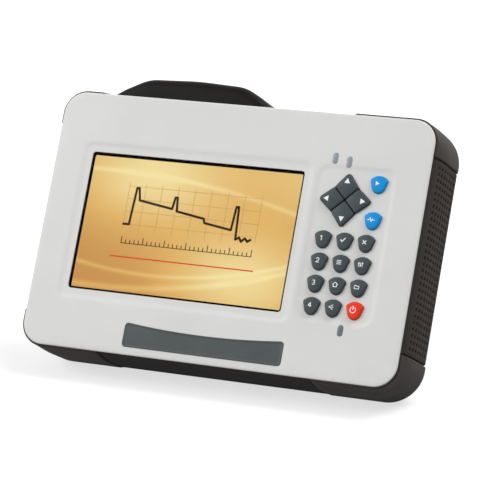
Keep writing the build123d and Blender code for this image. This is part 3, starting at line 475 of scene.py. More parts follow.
# marks about their own middles: numbers, tick, cross, list, sliders, house, folder, a lamp's
# rays, power, start and a live trace
beams = [sweep(-1.1, 0, r, -35, 35, 3) for r in (0.95, 2.5)]
marks = {
    "key_f1": stroke([(-0.7, 0.9), (0.1, 1.4), (0.1, -1.3)], 0.5),
    "key_f2": stroke([*sweep(0, 0.55, 0.85, 160, -40, 8), (-0.9, -1.25), (0.95, -1.25)], 0.46),
    "key_f3": stroke([*sweep(-0.05, 0.68, 0.72, 150, -90, 8),
                      *sweep(-0.05, -0.62, 0.78, 90, -150, 8)], 0.46),
    "key_f4": stroke([(0.95, -0.55), (-0.95, -0.55), (0.35, 1.35), (0.35, -1.35)], 0.46),
    "key_ok": stroke([(-1.35, 0.1), (-0.4, -0.95), (1.5, 1.25)], 0.6),
    "key_esc": strokes([[(-1.0, -1.0), (1.0, 1.0)], [(-1.0, 1.0), (1.0, -1.0)]], 0.55),
    "key_menu": strokes([[(-1.3, z), (1.3, z)] for z in (1.0, 0.0, -1.0)], 0.45),
    "key_setup": strokes([[(x, -1.4), (x, 1.4)] for x in (-1.1, 0.0, 1.1)], 0.3)
    + [disc(x, z, 0.5) for x, z in ((-1.1, 0.5), (0.0, -0.6), (1.1, 0.7))],
    "key_home": strokes([[(-1.7, 0.0), (0, 1.5), (1.7, 0.0)],
                         [(-1.05, 0.1), (-1.05, -1.3), (1.05, -1.3), (1.05, 0.1)]], 0.42),
    "key_file": stroke([(-1.4, 0.95), (-0.5, 0.95), (-0.15, 0.55), (1.35, 0.55), (1.35, -1.1),
                        (-1.4, -1.1), (-1.4, 0.95)], 0.4),
    "key_vfl": [disc(-1.1, 0, 0.5), *strokes(zip(*beams), 0.38)],
    "key_power": stroke(sweep(0, -0.25, 1.75, 55, -235, 22), 0.5)
    + stroke([(0, 0.1), (0, 2.0)], 0.55),
    "key_test": [np.array([(-0.95, -1.35), (1.35, 0.0), (-0.95, 1.35)])],
    "key_real_time": stroke([(-2.2, -0.2), (-1.2, -0.2), (-0.7, 1.2), (0.1, -1.3), (0.7, 0.5),
                             (1.0, -0.2), (2.2, -0.2)], 0.4)}
for name, spot in key_spots.items():
    shape, reach = cap(shield(*spot, 0, KEY_N), shield(*spot, FLANGE, KEY_N), spot)
    stuff, slot = KEY_STUFF.get(name, (key_grey, "key_dark"))
    piece(name + "_cap", [shape], stuff, name, slot, name, sharp=50)
    loops = [q + spot + MARK_AT for q in marks[name]]
    printed = inked(loops, lambda p: crown(p, spot, reach))
    piece(name + "_mark", printed, key_print, name, "zirconia")


def turned(p, angle):
    """Points measured along the pad's first key, turned about the pad's middle by an angle in
    degrees: x cos - z sin, x sin + z cos."""
    a = np.radians(angle)
    x, z = np.asarray(p, float).T
    return np.stack([PAD_X + x * np.cos(a) - z * np.sin(a),
                     PAD_Z + x * np.sin(a) + z * np.cos(a)], -1)


near, far = SEAM / 2, PAD_D / np.sqrt(2)
arrow_cap = spaced(filleted([(far - PAD_NIP, near), (far, far), (near, far - PAD_NIP),
                             (near, near)], [0.95, TIP_R, 0.95, 0.85]), ARROW_KEY_N)
arrow_collar = np.maximum(inset(arrow_cap, -FLANGE), near)
ahead, aside = np.array([(1, 1), (-1, 1)]) / np.sqrt(2)
arrow = ARROW_AT * ahead + ARROW * np.array([ahead, aside - 0.8 * ahead, -aside - 0.8 * ahead])
for name, angle in (("key_up", 45), ("key_left", 135), ("key_down", 225), ("key_right", 315)):
    middle = turned([[(near + far) / 2] * 2], angle)[0]
    shape, reach = cap(turned(arrow_cap, angle), turned(arrow_collar, angle), middle)
    piece(name + "_cap", [shape], key_grey, name, "key_dark", name, sharp=50)
    printed = inked([turned(arrow, angle)], lambda p: crown(p, middle, reach))
    piece(name + "_mark", printed, key_print, name, "zirconia")

# ---------------------------------------------------------------- screen
# Cover glass with a coating against glare, bonded in its rebate, with black ink round its rear
# edge.  Behind it the panel is lit: a gold page with a generic trace, a scale and a red rule.
GLASS_Y, GLASS_BACK = 0.8, 1.6                   # depths of its face and its rear
GLASS_GAP, GLASS_BEVEL = 0.1, 0.18
INK_Y, MARK_Y, LIT_Y = 1.7, 1.78, 1.9            # depths of border, trace and page
LAYER = 0.06                                     # from the trace to the grid behind it
LIT = (-96.1, 43.5, 41.9, 125.3)                 # lit area
PAGE_LAP = 0.4                                   # how far the page runs under the border
# a falling trace with a launch spike, two splices, two reflections and the noise at its end
TRACE = ((-69, 84), (-65, 84), (-63.8, 107), (-62.2, 107), (-60.6, 99.5), (-38, 96.2),
         (-37, 103.5), (-35.6, 103.5), (-34.6, 95), (-16, 92.2), (-15, 89.6), (3, 87),
         (4.2, 101.5), (5.8, 101.5), (7, 81.5), (9.2, 83), (11, 80.6), (13, 82.8), (15, 81),
         (17, 82.4))
CHART_X, CHART_Z = (-69, 20), (80, 110)          # reach of the grid
SCALE_X, SCALE_Z, TICK, TICKS = -68.0, 72.0, 2.9, 31
RULE = ((-74, 63.4), (22, 63.4))


def lit(name, colour_of):
    """Lit liquid crystal: black, with the light of the colour that the given nodes make from
    the place on the page, u and v from -1 to 1."""
    material = bpy.data.materials.new(name)
    material.use_nodes = True
    tree = material.node_tree
    tree.nodes.clear()
    middle = place(((LIT[0] + LIT[1]) / 2, LIT_Y, (LIT[2] + LIT[3]) / 2))
    size = ((LIT[1] - LIT[0]) / 2000, 1.0, (LIT[3] - LIT[2]) / 2000)
    at = add(tree, "TexCoord").outputs["Object"]
    page = add(tree, "Mapping", {"Vector": at}, vector_type="TEXTURE", Location=middle,
               Rotation=(-LEAN, 0, 0), Scale=size).outputs["Vector"]
    body = add(tree, "BsdfPrincipled", {"Emission Color": colour_of(tree, page)},
               Base_Color=linear("#050505"), Roughness=0.5, Specular_IOR_Level=0.1,
               Emission_Strength=0.97)
    add(tree, "OutputMaterial", {"Surface": body.outputs["BSDF"]})
    return material


def gold_page(tree, page):
    """Warm page: a vertical fade, broad lobes exp(-2.2 d^2) and thin pale arcs
    exp(-(v - a - b u - c u^2)^2 / w^2)."""
    along = add(tree, "SeparateXYZ", {0: page}).outputs
    u, v = along["X"], along["Z"]
    flat = add(tree, "CombineXYZ", {"X": u, "Y": v}).outputs[0]
    shade = add(tree, "Math", {0: v, 1: 0.06, 2: 0.36}, operation="MULTIPLY_ADD").outputs[0]
    for x, z, gain in ((-0.4, 0.75, 0.46), (0.6, -0.65, 0.5), (1.1, 0.9, 0.2)):
        away = add(tree, "VectorMath", {0: flat, 1: (x, z, 0)}, operation="DISTANCE")
        square = add(tree, "Math", {0: away.outputs["Value"], 1: 2.0}, operation="POWER")
        less = add(tree, "Math", {0: square.outputs[0], 1: -2.2}, operation="MULTIPLY")
        lobe = add(tree, "Math", {0: less.outputs[0]}, operation="EXPONENT").outputs[0]
        shade = add(tree, "Math", {0: lobe, 1: gain, 2: shade},
                    operation="MULTIPLY_ADD").outputs[0]
    for a, b, c, wide in ((-0.86, 0.24, 0.16, 0.05), (-0.7, 0.12, 0.22, 0.035),
                          (0.72, -0.2, -0.12, 0.04)):
        slope = add(tree, "Math", {0: u, 1: c, 2: b}, operation="MULTIPLY_ADD").outputs[0]
        bend = add(tree, "Math", {0: u, 1: slope, 2: a}, operation="MULTIPLY_ADD").outputs[0]
        off = add(tree, "Math", {0: v, 1: bend}, operation="SUBTRACT").outputs[0]
        share = add(tree, "Math", {0: off, 1: wide}, operation="DIVIDE").outputs[0]
        square = add(tree, "Math", {0: share, 1: share}, operation="MULTIPLY").outputs[0]
        less = add(tree, "Math", {0: square, 1: -1.0}, operation="MULTIPLY").outputs[0]
        ridge = add(tree, "Math", {0: less}, operation="EXPONENT").outputs[0]
        shade = add(tree, "Math", {0: ridge, 1: 0.16, 2: shade},
                    operation="MULTIPLY_ADD").outputs[0]
    gold = add(tree, "ValToRGB", {"Fac": shade})
    for stop, code in ((0.22, "#bd7c38"), (0.52, "#e2b364"), (0.92, "#f7e3a2")):
        gold.color_ramp.elements.new(stop).color = linear(code)
    gold.color_ramp.elements.remove(gold.color_ramp.elements[-1])
    gold.color_ramp.elements.remove(gold.color_ramp.elements[0])
    return gold.outputs["Color"]


def one_colour(code):
    """A shape of one colour, a little uneven as liquid crystal is."""
    def colour_of(tree, page):
        grain = add(tree, "TexNoise", {"Vector": page}, Scale=90.0)
        tone = add(tree, "ValToRGB", {"Fac": grain.outputs["Fac"]})
        for stop, gain in zip(tone.color_ramp.elements, (0.9, 1.1)):
            stop.color = [q * gain for q in linear(code)[:3]] + [1.0]
        return tone.outputs["Color"]
    return colour_of


def sheet_between(outer, inner, y):
    """Flat ink between two loops of equal count, with its thickness."""
    return loft([at_depth(outer, y), at_depth(inner, y), at_depth(inner, y + PRINT_T),
                 at_depth(outer, y + PRINT_T), at_depth(outer, y)])


def on_page(step):
    """Depth of a shape on the page; a higher step lies in front."""
    return lambda p: np.full(len(p), MARK_Y + LAYER * (1 - step))


pane = inset(window, GLASS_GAP)
glass = loft([at_depth(gathered(pane), GLASS_Y), at_depth(inset(pane, GLASS_BEVEL), GLASS_Y),
              at_depth(pane, GLASS_Y + GLASS_BEVEL), at_depth(pane, GLASS_BACK),
              at_depth(gathered(pane), GLASS_BACK)])
# coated float glass: the coating takes most of the glare, which a low index of refraction
# stands for, so the page shows through from every side
cover_glass = surface("anti_glare_cover_glass", "#ffffff", "#fbfdfc", 0.03, 8.0, 0.0004,
                      swing=0.015, Transmission_Weight=1.0, IOR=1.12)
piece("screen_cover_glass", [glass], cover_glass, "housing", "glass_clear", "screen_glass")
# screen-printed ink seen through the glass: dead black, with no shine of its own
black_ink = surface("black_ink_under_glass", "#030303", "#010101", 0.5, 1.0, 0.002,
                    Specular_IOR_Level=0.0)
lit_edge = spaced(rectangle(*LIT, 0.3), 240)
piece("screen_ink_border", [sheet_between(pane, lit_edge, INK_Y)], black_ink, "housing",
      "seal_black")
page_edge = inset(lit_edge, -PAGE_LAP)
page = loft([at_depth(gathered(lit_edge), LIT_Y), at_depth(page_edge, LIT_Y),
             at_depth(page_edge, LIT_Y + PRINT_T), at_depth(gathered(lit_edge), LIT_Y + PRINT_T)])
piece("screen_page", [page], lit("lit_gold_page", gold_page), "housing", "ribbon")

tick_x = SCALE_X + TICK * np.arange(TICKS)
scale_marks = strokes([[(x, SCALE_Z + 0.2), (x, SCALE_Z + (2.2 if i % 5 else 4.0))]
                       for i, x in enumerate(tick_x)], 0.55)
scale_marks += stroke([(tick_x[0] - 0.2, SCALE_Z), (tick_x[-1] + 0.2, SCALE_Z)], 0.45)
grid_lines = strokes([[(CHART_X[0], z), (CHART_X[1], z)] for z in (84, 92, 100, 108)], 0.22)
grid_lines += strokes([[(x, CHART_Z[0]), (x, CHART_Z[1])] for x in np.linspace(*CHART_X, 9)], 0.22)
# lit crystal in one colour each: flat tones with a slight unevenness
brown = lit("lit_brown", one_colour("#2a1706"))
faint = lit("lit_faint_brown", one_colour("#c08d4a"))
red = lit("lit_red", one_colour("#d8301c"))
piece("screen_grid", inked(grid_lines, on_page(0)), faint, "housing", "ribbon")
piece("screen_trace", inked(stroke(TRACE, 1.5) + scale_marks, on_page(1)), brown, "housing",
      "seal_black")
piece("screen_rule", inked(stroke(RULE, 0.75), on_page(1)), red, "housing", "key_red")

# ---------------------------------------------------------------- name plate, indicator windows
# The plate is a bare arched strip of satin polycarbonate with a low rolled rim.  The three
# windows are smoky acrylic pills, each with its light pipe to the board behind.
RIM_UP, RIM_W, RIM_FALL = 0.3, 0.75, 0.2         # plate's rim: over the panel, width, slope
RIM_ROLL_IN, RIM_ROLL_UP = 0.3, 0.22             # half axes of its outer roll
FACE_UP, FACE_IN = 0.2, 1.6                      # plate's face: over the panel, inset
PIPE_R, BOARD_Y = 1.5, 6.5                       # light pipe: radius, depth of its end
PILL_UP, PILL_SINK = 0.15, 0.15                  # window: over the panel, start of its roll
PILL_ROLL_IN, PILL_ROLL_UP = 0.35, 0.25          # half axes of that roll
PILL_TOP_IN, PILL_CROWN = 0.9, 0.01              # its top: inset, rise to the middle

plate = name_plate(0.0)
rows = [(plate, RIM_ROLL_UP - RIM_UP)]
rows += [(inset(plate, RIM_ROLL_IN * (1 - np.cos(q))), RIM_ROLL_UP * (1 - np.sin(q)) - RIM_UP)
         for q in np.linspace(0.3, np.pi / 2, 5)]
rows += [(inset(plate, RIM_W), -RIM_UP), (inset(plate, RIM_W + RIM_FALL), -FACE_UP),
         (inset(plate, FACE_IN), -FACE_UP)]
rim = loft([at_depth(gathered(plate), PLATE_SEAT), at_depth(plate, PLATE_SEAT),
            *(at_depth(loop, y) for loop, y in rows)])
points, faces = filled(inset(plate, FACE_IN), seeds=lattice)
# satin polycarbonate: an even slate tone that only brightens along the rolled rim
plate_ink = surface("satin_polycarbonate_slate", "#505657", "#484e4f", 0.4, 0.35, 0.006,
                    blotch=30, Specular_IOR_Level=0.15)
piece("name_plate", [rim, (at_depth(points, -FACE_UP), faces)], plate_ink, "housing",
      "plate_grey", "nameplate")

# tinted acrylic: a glossy pill that lets a little light in, so it looks deeper than the panel
led_light = surface("smoky_acrylic_grey_blue", "#a3abb4", "#939ca6", 0.22, 0.6, 0.003, blotch=3,
                    Transmission_Weight=0.25, IOR=1.49)
led_dark = surface("smoky_acrylic_teal_grey", "#6f8084", "#63757a", 0.22, 0.6, 0.003, blotch=3,
                   Transmission_Weight=0.25, IOR=1.49)
for name, (x, z) in PILLS.items():
    rim, collar = pill(x, z, 0.0, 72), pill(x, z, FLANGE, 72)
    first = np.degrees(np.arctan2(rim[0, 1] - z, rim[0, 0] - x))
    pipe = sweep(x, z, PIPE_R, first, first + 355, 72)
    point = np.broadcast_to((x, z), rim.shape)
    rows = [(point, BOARD_Y), (pipe, BOARD_Y), (pipe, PANEL_T + FLANGE_T),
            (collar, PANEL_T + FLANGE_T), (collar, PANEL_T), (rim, PANEL_T)]
    rows += [(inset(rim, PILL_ROLL_IN * (1 - np.cos(q))), PILL_SINK - PILL_ROLL_UP * np.sin(q))
             for q in np.linspace(0, np.pi / 2, 5)]
    rows += [(inset(rim, PILL_TOP_IN), PILL_CROWN - PILL_UP), (point, -PILL_UP)]
    piece(name + "_pill", [loft([at_depth(loop, y) for loop, y in rows])],
          led_dark if name == "sensor_window" else led_light, "housing", "window_smoke", name,
          sharp=50)

# ---------------------------------------------------------------- bumpers and side grips
# Soft overmoulded rubber with a matt bloom.  Each bumper wraps a corner from the panel's rim
# round into the rear face; between them the sides carry grips with rows of round dimples.
HALF, HIGH = PANEL_W / 2, PANEL_H / 2
BULGE, SWELL = 3.0, 22.0                         # shell outside the panel's outline, from there on
BODY_D, REAR_R, REAR_CORNER = 50.0, 12.0, 21.5   # shell: depth, roll into the rear, corners
PROUD, RUBBER_T, ROLL = 0.5, 1.7, 0.9            # bumper: over the shell, thickness, edges
LAP = 3.5                                        # how far it runs onto the rear face
LIP, LIP_Y = 0.5, 9.0                            # flare past the panel in front, and its depth
BUMPER_ENDS = {"bumper_top_left": (-1, 1, 98.5), "bumper_top_right": (1, 1, 70.0),
               "bumper_bottom_left": (-1, -1, 70.0), "bumper_bottom_right": (1, -1, 70.0)}
BUMP_Z = 59.5                                    # bumper ends above and below the middle
NEAR_EDGE = np.array([0.0, 0.07, 0.2, 0.42, 0.7]) * ROLL * 1.4
ROW = 2.2                                        # rows of points along the section


def skin(y):
    """How far the shell stands outside the panel's outline at depth y, and its corner radius
    there: a parabola to the full bulge at the swell's depth, then straight."""
    t = np.clip((y - RIM_T) / (SWELL - RIM_T), 0, 1)
    w = 1 - (1 - t) ** 2
    return BULGE * w, PANEL_R + w * (REAR_CORNER - PANEL_R)


def side_rows(y):
    """Rows (distance outside the outline, depth, corner radius) of the side at depths y."""
    w, r = skin(y)
    return np.stack([w, y, r], -1)


def rear_rows(s):
    """The same at lengths s past the side: a quarter circle, then the flat of the rear."""
    turn = np.minimum(s / REAR_R, np.pi / 2)
    flat = np.maximum(s - REAR_R * np.pi / 2, 0)
    w = BULGE - REAR_R + REAR_R * np.cos(turn) - flat
    return np.stack([w, BODY_D - REAR_R + REAR_R * np.sin(turn), REAR_CORNER + w - BULGE], -1)


def eased_steps(a, b, n):
    """Values from a rolled edge at a on towards b: close steps over the roll, then even ones.
    The last value, b, is left to what follows."""
    close = a + NEAR_EDGE * np.sign(b - a)
    return np.r_[close, np.linspace(close[-1], b, n + 1)[1:-1]]


def corner_path(w, r, x_end):
    """One level of a bumper in the quarter right of and above the middle: along the long edge
    from x_end, round the corner and down the side."""
    x, z = HALF + w, HIGH + w
    run = eased_steps(x_end, x - r, 16)
    a = np.linspace(np.pi / 2, 0, 22)
    side = eased_steps(BUMP_Z, z - r, 4)[::-1]
    return np.vstack([np.stack([run, np.full(len(run), z)], -1),
                      np.stack([x - r + r * np.cos(a), z - r + r * np.sin(a)], -1),
                      np.stack([np.full(len(side), x), side], -1)])


def walled(top, low, open_cells=False):
    """Two grids of points, one over the other, closed round their border.  The top's open
    cells are left out."""
    n, m = top.shape[:2]
    i, j = np.meshgrid(np.arange(n - 1), np.arange(m - 1), indexing="ij")
    q = (i * m + j).ravel()
    quads = np.stack([q, q + 1, q + m + 1, q + m], -1)
    ring = np.r_[np.arange(m), np.arange(1, n) * m + m - 1,
                 (n - 1) * m + np.arange(m - 2, -1, -1), np.arange(n - 2, 0, -1) * m]
    after = np.roll(ring, -1)
    wall = np.stack([ring, after, after + n * m, ring + n * m], -1)
    kept = quads[~np.broadcast_to(open_cells, (n - 1, m - 1)).ravel()]
    points = np.vstack([top.reshape(-1, 3), low.reshape(-1, 3)])
    return points, np.vstack([kept, quads[:, ::-1] + n * m, wall])


def padded_skin(grid, thick, proud):
    """A grid of points on the shell, made a pad: lifted along the surface's normals by proud,
    less the quarter circle by which it falls to its border, and closed thick below.  Outward
    is where most normals point away from the shell's middle."""
    normal = np.cross(np.gradient(grid, axis=0), np.gradient(grid, axis=1))
    normal /= np.linalg.norm(normal, axis=2, keepdims=True)
    away = (grid - (0, BODY_D / 2, ZC)) * (1, 0.2, 1)
    normal *= np.sign((normal * away).sum())
    border = np.full(grid.shape[:2], np.inf)
    for axis in (0, 1):
        steps = np.linalg.norm(np.diff(grid, axis=axis), axis=2)
        zero = np.zeros_like(np.take(steps, [0], axis=axis))
        along = np.concatenate([zero, np.cumsum(steps, axis=axis)], axis=axis)
        whole = np.take(along, [-1], axis=axis)
        border = np.minimum(border, np.minimum(along, whole - along))
    d = np.minimum(border, ROLL)
    lift = proud - ROLL + np.sqrt(ROLL ** 2 - (ROLL - d) ** 2)
    return walled(grid + normal * lift[..., None], grid + normal * (proud - thick))


# thermoplastic rubber moulded over the shell: dark, matt, with a faint bloom at grazing angles
rubber = surface("matt_overmoulded_rubber", "#352e2b", "#2c2724", 0.62, 0.35, 0.012, blotch=14,
                 swing=0.08, Sheen_Weight=0.1, Sheen_Roughness=0.4, Specular_IOR_Level=0.2)
lap = REAR_R * np.pi / 2 + LAP
levels = np.vstack([
    side_rows(RIM_T + NEAR_EDGE), side_rows(np.arange(RIM_T + ROW, BODY_D - REAR_R, ROW)),
    rear_rows(np.arange(0, lap - 1.5, ROW)), rear_rows(lap - NEAR_EDGE[::-1])])
levels[:, 0] += LIP * np.clip(1 - (levels[:, 1] - RIM_T) / LIP_Y, 0, 1) ** 2
for name, (sx, sz, x_end) in BUMPER_ENDS.items():
    rows = []
    for w, y, r in levels:
        p = corner_path(w, r, x_end)
        rows.append(np.stack([sx * p[:, 0], np.full(len(p), y), ZC + sz * p[:, 1]], -1))
    piece(name + "_rubber", [padded_skin(np.stack(rows), RUBBER_T, PROUD)], rubber, "housing",
          "bumper_rubber", name, sharp=60)

# Between the bumpers each side has a softer strip, smooth in front, with eight columns of
# round dimples that run back over the swell.
GRIP_Y, GRIP_Z = (3.6, 46.5), (25.4, 142.6)      # reach in depth and height
GRIP_LONG = 43.85                                # length of its section from front to rear
GRIP_T, GRIP_ROLL = 1.8, 0.6
COLUMNS, ROWS, PITCH_ROUND, PITCH_UP = 8, 29, 4.3, 3.9
PLAIN, FIRST = 2.4, 4.45                         # smooth front: a row of points, its end
DIMPLES = ((1.3, 0.0), (1.18, 0.12), (1.02, 0.6), (0.7, 0.9), (0.0, 1.0))  # radius, depth
CELL = np.array([-0.5, -0.5, 0.5]) * (1, np.tan(np.radians(15)), np.tan(np.radians(15)))


def on_skin(s, z, lift):
    """Point at length s round the side's section and height z, raised by lift along the
    normal: the swell, then the roll into the rear."""
    y = np.linspace(*GRIP_Y, 900)
    turn = np.clip((y - BODY_D + REAR_R) / REAR_R, 0, 1)
    w = skin(y)[0] - REAR_R * (1 - np.sqrt(1 - turn ** 2))
    along = np.r_[0, np.cumsum(np.hypot(np.diff(y), np.diff(w)))]
    at_y, at_w, ny, nw = (np.interp(s, along, q) for q in (
        y, w, -np.gradient(w, along), np.gradient(y, along)))
    return np.stack([HALF + at_w + lift * nw, at_y + lift * ny, z], -1)


def grip():
    """The strip as a grid with a rolled border, where the field's cells are left open and
    filled with rings that close in from a cell's square edge on a dimple's circles.  The
    square's points are where rays 30 degrees apart meet it: c / 2 max(|cos|, |sin|)."""
    z_low = (sum(GRIP_Z) - ROWS * PITCH_UP) / 2
    middle_s = FIRST + (np.arange(COLUMNS) + 0.5) * PITCH_ROUND
    middle_z = z_low + (np.arange(ROWS) + 0.5) * PITCH_UP
    near = GRIP_ROLL * np.array([0.0, 0.15, 0.5, 1.0])
    s = np.r_[near, PLAIN, (middle_s[:, None] + CELL * PITCH_ROUND).ravel(),
              FIRST + COLUMNS * PITCH_ROUND, GRIP_LONG - near[::-1]]
    z = np.r_[GRIP_Z[0] + near, (middle_z[:, None] + CELL * PITCH_UP).ravel(),
              z_low + ROWS * PITCH_UP, GRIP_Z[1] - near[::-1]]
    s_all, z_all = np.meshgrid(s, z, indexing="ij")
    d = np.minimum(np.minimum(s_all, GRIP_LONG - s_all),
                   np.minimum(z_all - GRIP_Z[0], GRIP_Z[1] - z_all))
    lift = np.sqrt(GRIP_ROLL ** 2 - (GRIP_ROLL - np.minimum(d, GRIP_ROLL)) ** 2) - GRIP_ROLL
    i, j = np.indices((len(s) - 1, len(z) - 1))
    i0, j0 = len(near) + 1, len(near)
    field = (i >= i0) & (i < i0 + 3 * COLUMNS) & (j >= j0) & (j < j0 + 3 * ROWS)
    strip = walled(on_skin(s_all, z_all, lift), on_skin(s_all, z_all, -GRIP_T), field)
    a = np.radians(np.arange(15, 375, 30))
    circle = np.stack([np.cos(a), np.sin(a)], -1)
    square = circle / np.abs(circle).max(1, keepdims=True) / 2 * (PITCH_ROUND, PITCH_UP)
    rings = [(square, 0.0), *((r * circle, deep) for r, deep in DIMPLES)]
    cell, faces = loft([np.insert(ring, 2, deep, axis=1) for ring, deep in rings])
    middles = np.stack(np.meshgrid(middle_s, middle_z, 0.0, indexing="ij"), -1).reshape(-1, 1, 3)
    s_all, z_all, deep = (middles + cell).reshape(-1, 3).T
    starts = np.arange(len(middles))[:, None, None] * len(cell)
    return [strip, (on_skin(s_all, z_all, -deep), (faces + starts).reshape(-1, 4))]


# a softer rubber than the bumpers': flat matt, so its dimples read as dark dots
grip_rubber = surface("matt_dimpled_rubber", "#322b27", "#2a2420", 0.7, 0.35, 0.012, blotch=14,
                      Specular_IOR_Level=0.2)
for name, sx in (("side_grip_left", -1), ("side_grip_right", 1)):
    parts = [(p * (sx, 1, 1), f) for p, f in grip()]
    piece(name + "_strip", parts, grip_rubber, "housing", "bumper_rubber", name, sharp=70)

# ---------------------------------------------------------------- dust cover
# Black ABS cap over the optical ports, moulded hollow with round shoulders and soft edges, on
# an arm with a barrel that turns on a steel pin.  Its lower edge follows the shell's top.
TOP, PORT_X = 167.5, -42.5                       # the shell's top face, middle of the ports
COVER_FACE = ((-66.0, -6.0), (-48.6, 5.2), (-34.0, 12.6), (0, 13.9), (32.0, 12.4), (43.4, 6.6),
              (61.5, -6.0))                      # corners, from the ports' middle and the top
COVER_ROUND = (0.1, 24, 26, 150, 26, 24, 0.1)    # and the radius of each
COVER_Y, COVER_EDGE, COVER_T, COVER_GAP = (12.0, 44.0), 6.0, 2.0, 0.5
HINGE_Y, HINGE_Z, HINGE_R, PIN_R, ARM = 47.5, 169.0, 2.8, 1.55, 19.6
ARM_LAP, ARM_SHORT = 1.5, 1.9                    # arm: into the cap, short of the pin's middle
ARM_LOW, ARM_ROOT, ARM_TIP = 1.8, 2.8, 2.4       # below the pin's middle, above it at each end
ARM_EASE = 0.3                                   # its corners' radius


def cap_line(depth, wall, n=90):
    """The cover's outline moved in by wall, from its lower left edge over the top to the
    lower right, at one depth: even steps between the heights where it meets the gap.  With
    it, the same line with every point let down to that height."""
    shape = filleted(COVER_FACE[::-1], COVER_ROUND[::-1], 24)
    shape = inset(shape, wall)[::-1]
    shape = shape[np.argmin(shape[:, 0] + shape[:, 1]):]
    shape = shape[:np.argmax(shape[:, 0] - shape[:, 1]) + 1]
    turn = np.clip((depth - BODY_D + REAR_R) / REAR_R, 0, 1)
    low = ZC + HIGH + skin(depth)[0] - REAR_R * (1 - np.sqrt(1 - turn ** 2)) + COVER_GAP - TOP
    s = np.r_[0, np.cumsum(np.hypot(*np.diff(shape, axis=0).T))]
    peak = shape[:, 1].argmax()
    s0 = np.interp(low, shape[:peak, 1], s[:peak])
    s1 = np.interp(low, shape[:peak:-1, 1], s[:peak:-1])
    even = np.linspace(s0, s1, n)
    x, z = np.interp(even, s, shape[:, 0]), np.interp(even, s, shape[:, 1])
    line = np.stack([x, np.full(n, depth), z], -1) + (PORT_X, 0, TOP)
    foot = line.copy()
    foot[:, 2] = low + TOP
    return line, foot


def cap_skin(wall):
    """Rows from the front's lower edge over a quarter circle, the top and a second quarter
    circle to the rear's lower edge."""
    r = COVER_EDGE - wall
    front, rear = COVER_Y
    a = np.linspace(0, np.pi / 2, 7)
    rows = [(front + wall + r * (1 - np.sin(q)), r * (1 - np.cos(q))) for q in a[::-1]]
    rows += [(y, 0.0) for y in np.linspace(front + COVER_EDGE, rear - COVER_EDGE, 6)[1:-1]]
    rows += [(rear - wall - r * (1 - np.sin(q)), r * (1 - np.cos(q))) for q in a]
    lines = [cap_line(y, wall + w) for y, w in rows]
    return np.stack([lines[0][1], *(line for line, _ in lines), lines[-1][1]])


def bar(section_x):
    """Loops of depth and height, each set at its place along x, joined in that order."""
    return loft([np.insert(loop, 0, x, axis=1) for loop, x in section_x])


left, right = PORT_X - ARM, PORT_X + ARM
round_pin = sweep(HINGE_Y, HINGE_Z, PIN_R, 0, 350, 36)
round_barrel = sweep(HINGE_Y, HINGE_Z, HINGE_R, 0, 350, 36)
barrel = bar([(round_barrel, left), (round_barrel, right), (round_pin, right), (round_pin, left),
              (round_barrel, left)])
arm_loop = spaced(filleted([
    (COVER_Y[1] - ARM_LAP, HINGE_Z - ARM_LOW), (HINGE_Y - ARM_SHORT, HINGE_Z - ARM_LOW),
    (HINGE_Y - ARM_SHORT, HINGE_Z + ARM_TIP), (COVER_Y[1] - ARM_LAP, HINGE_Z + ARM_ROOT)],
    ARM_EASE), 40)
arm = bar([(gathered(arm_loop), left), (arm_loop, left), (arm_loop, right),
           (gathered(arm_loop), right)])
# spark-eroded black ABS: a coarse even skin that keeps the cap nearly black in full light
cover_abs = surface("spark_eroded_black_abs_cap", "#141211", "#0f0d0c", 0.42, 0.7, 0.02,
                    blotch=18, Specular_IOR_Level=0.08)
piece("dust_cover_cap", [walled(cap_skin(0.0), cap_skin(COVER_T)), barrel, arm], cover_abs,
      "dust_cover", "shell_black", "port_cover", sharp=50)

# ---------------------------------------------------------------- shell, stand, sockets
# The rest keeps its own shape, as the moulds, presses and lathes made it: the ABS shell with
# its doors, the zinc stand, the steel pins and screws, the plated ports, the sockets' cans and
# what the case holds.  Each gets the finish of its stuff.

# spark-eroded ABS: a coarse even skin, black with only a broad dull sheen
shell_abs = surface("spark_eroded_black_abs", "#2c2928", "#262322", 0.55, 0.7, 0.02, blotch=40,
                    Specular_IOR_Level=0.12)
# moulded elastomer: duller and a shade lighter than the shell beside it
flap_rubber = surface("soft_elastomer_flap", "#3a3735", "#312e2c", 0.66, 0.5, 0.014, blotch=9,
                      Specular_IOR_Level=0.15)
# bead-blasted die-cast zinc: grey metal whose blasted skin spreads every highlight wide
blasted = surface("bead_blasted_zinc_stand", "#8d9092", "#7f8284", 0.38, 0.35, 0.008, blotch=20,
                  Metallic=0.85)
# turned steel: small parts that catch a bright point of light
turned_steel = surface("turned_bright_steel", "#c8c9ca", "#b8babb", 0.24, 0.25, 0.003, blotch=4,
                       Metallic=1.0)
# plated brass: warm and bright, so the ports stand out when the cover is open
gilt = surface("nickel_plated_brass", "#d3b878", "#c2a563", 0.26, 0.25, 0.003, blotch=4,
               Metallic=1.0)
# lacquered board: green and glossy
lacquer = surface("solder_lacquer_green", "#1f5a3a", "#184a2f", 0.35, 0.8, 0.01, blotch=6)
# tinned sheet: grey with a blurred reflection
tin = surface("tinned_steel_can", "#77797b", "#6b6d70", 0.48, 0.6, 0.006, blotch=12, Metallic=0.9)
# moulded silicone: waxy, between matt and satin
dome_silicone = surface("keymat_silicone", "#5b5b5b", "#515151", 0.55, 0.4, 0.006, blotch=6)
# shrunk film: glossy blue with long low waves
film = surface("battery_heat_shrink", "#2b4f8a", "#244478", 0.3, 2.0, 0.01, blotch=15)
# cut foam: black and dead matt
black_seal = surface("closed_cell_foam_seal", "#161616", "#101010", 0.8, 0.35, 0.03, blotch=5)
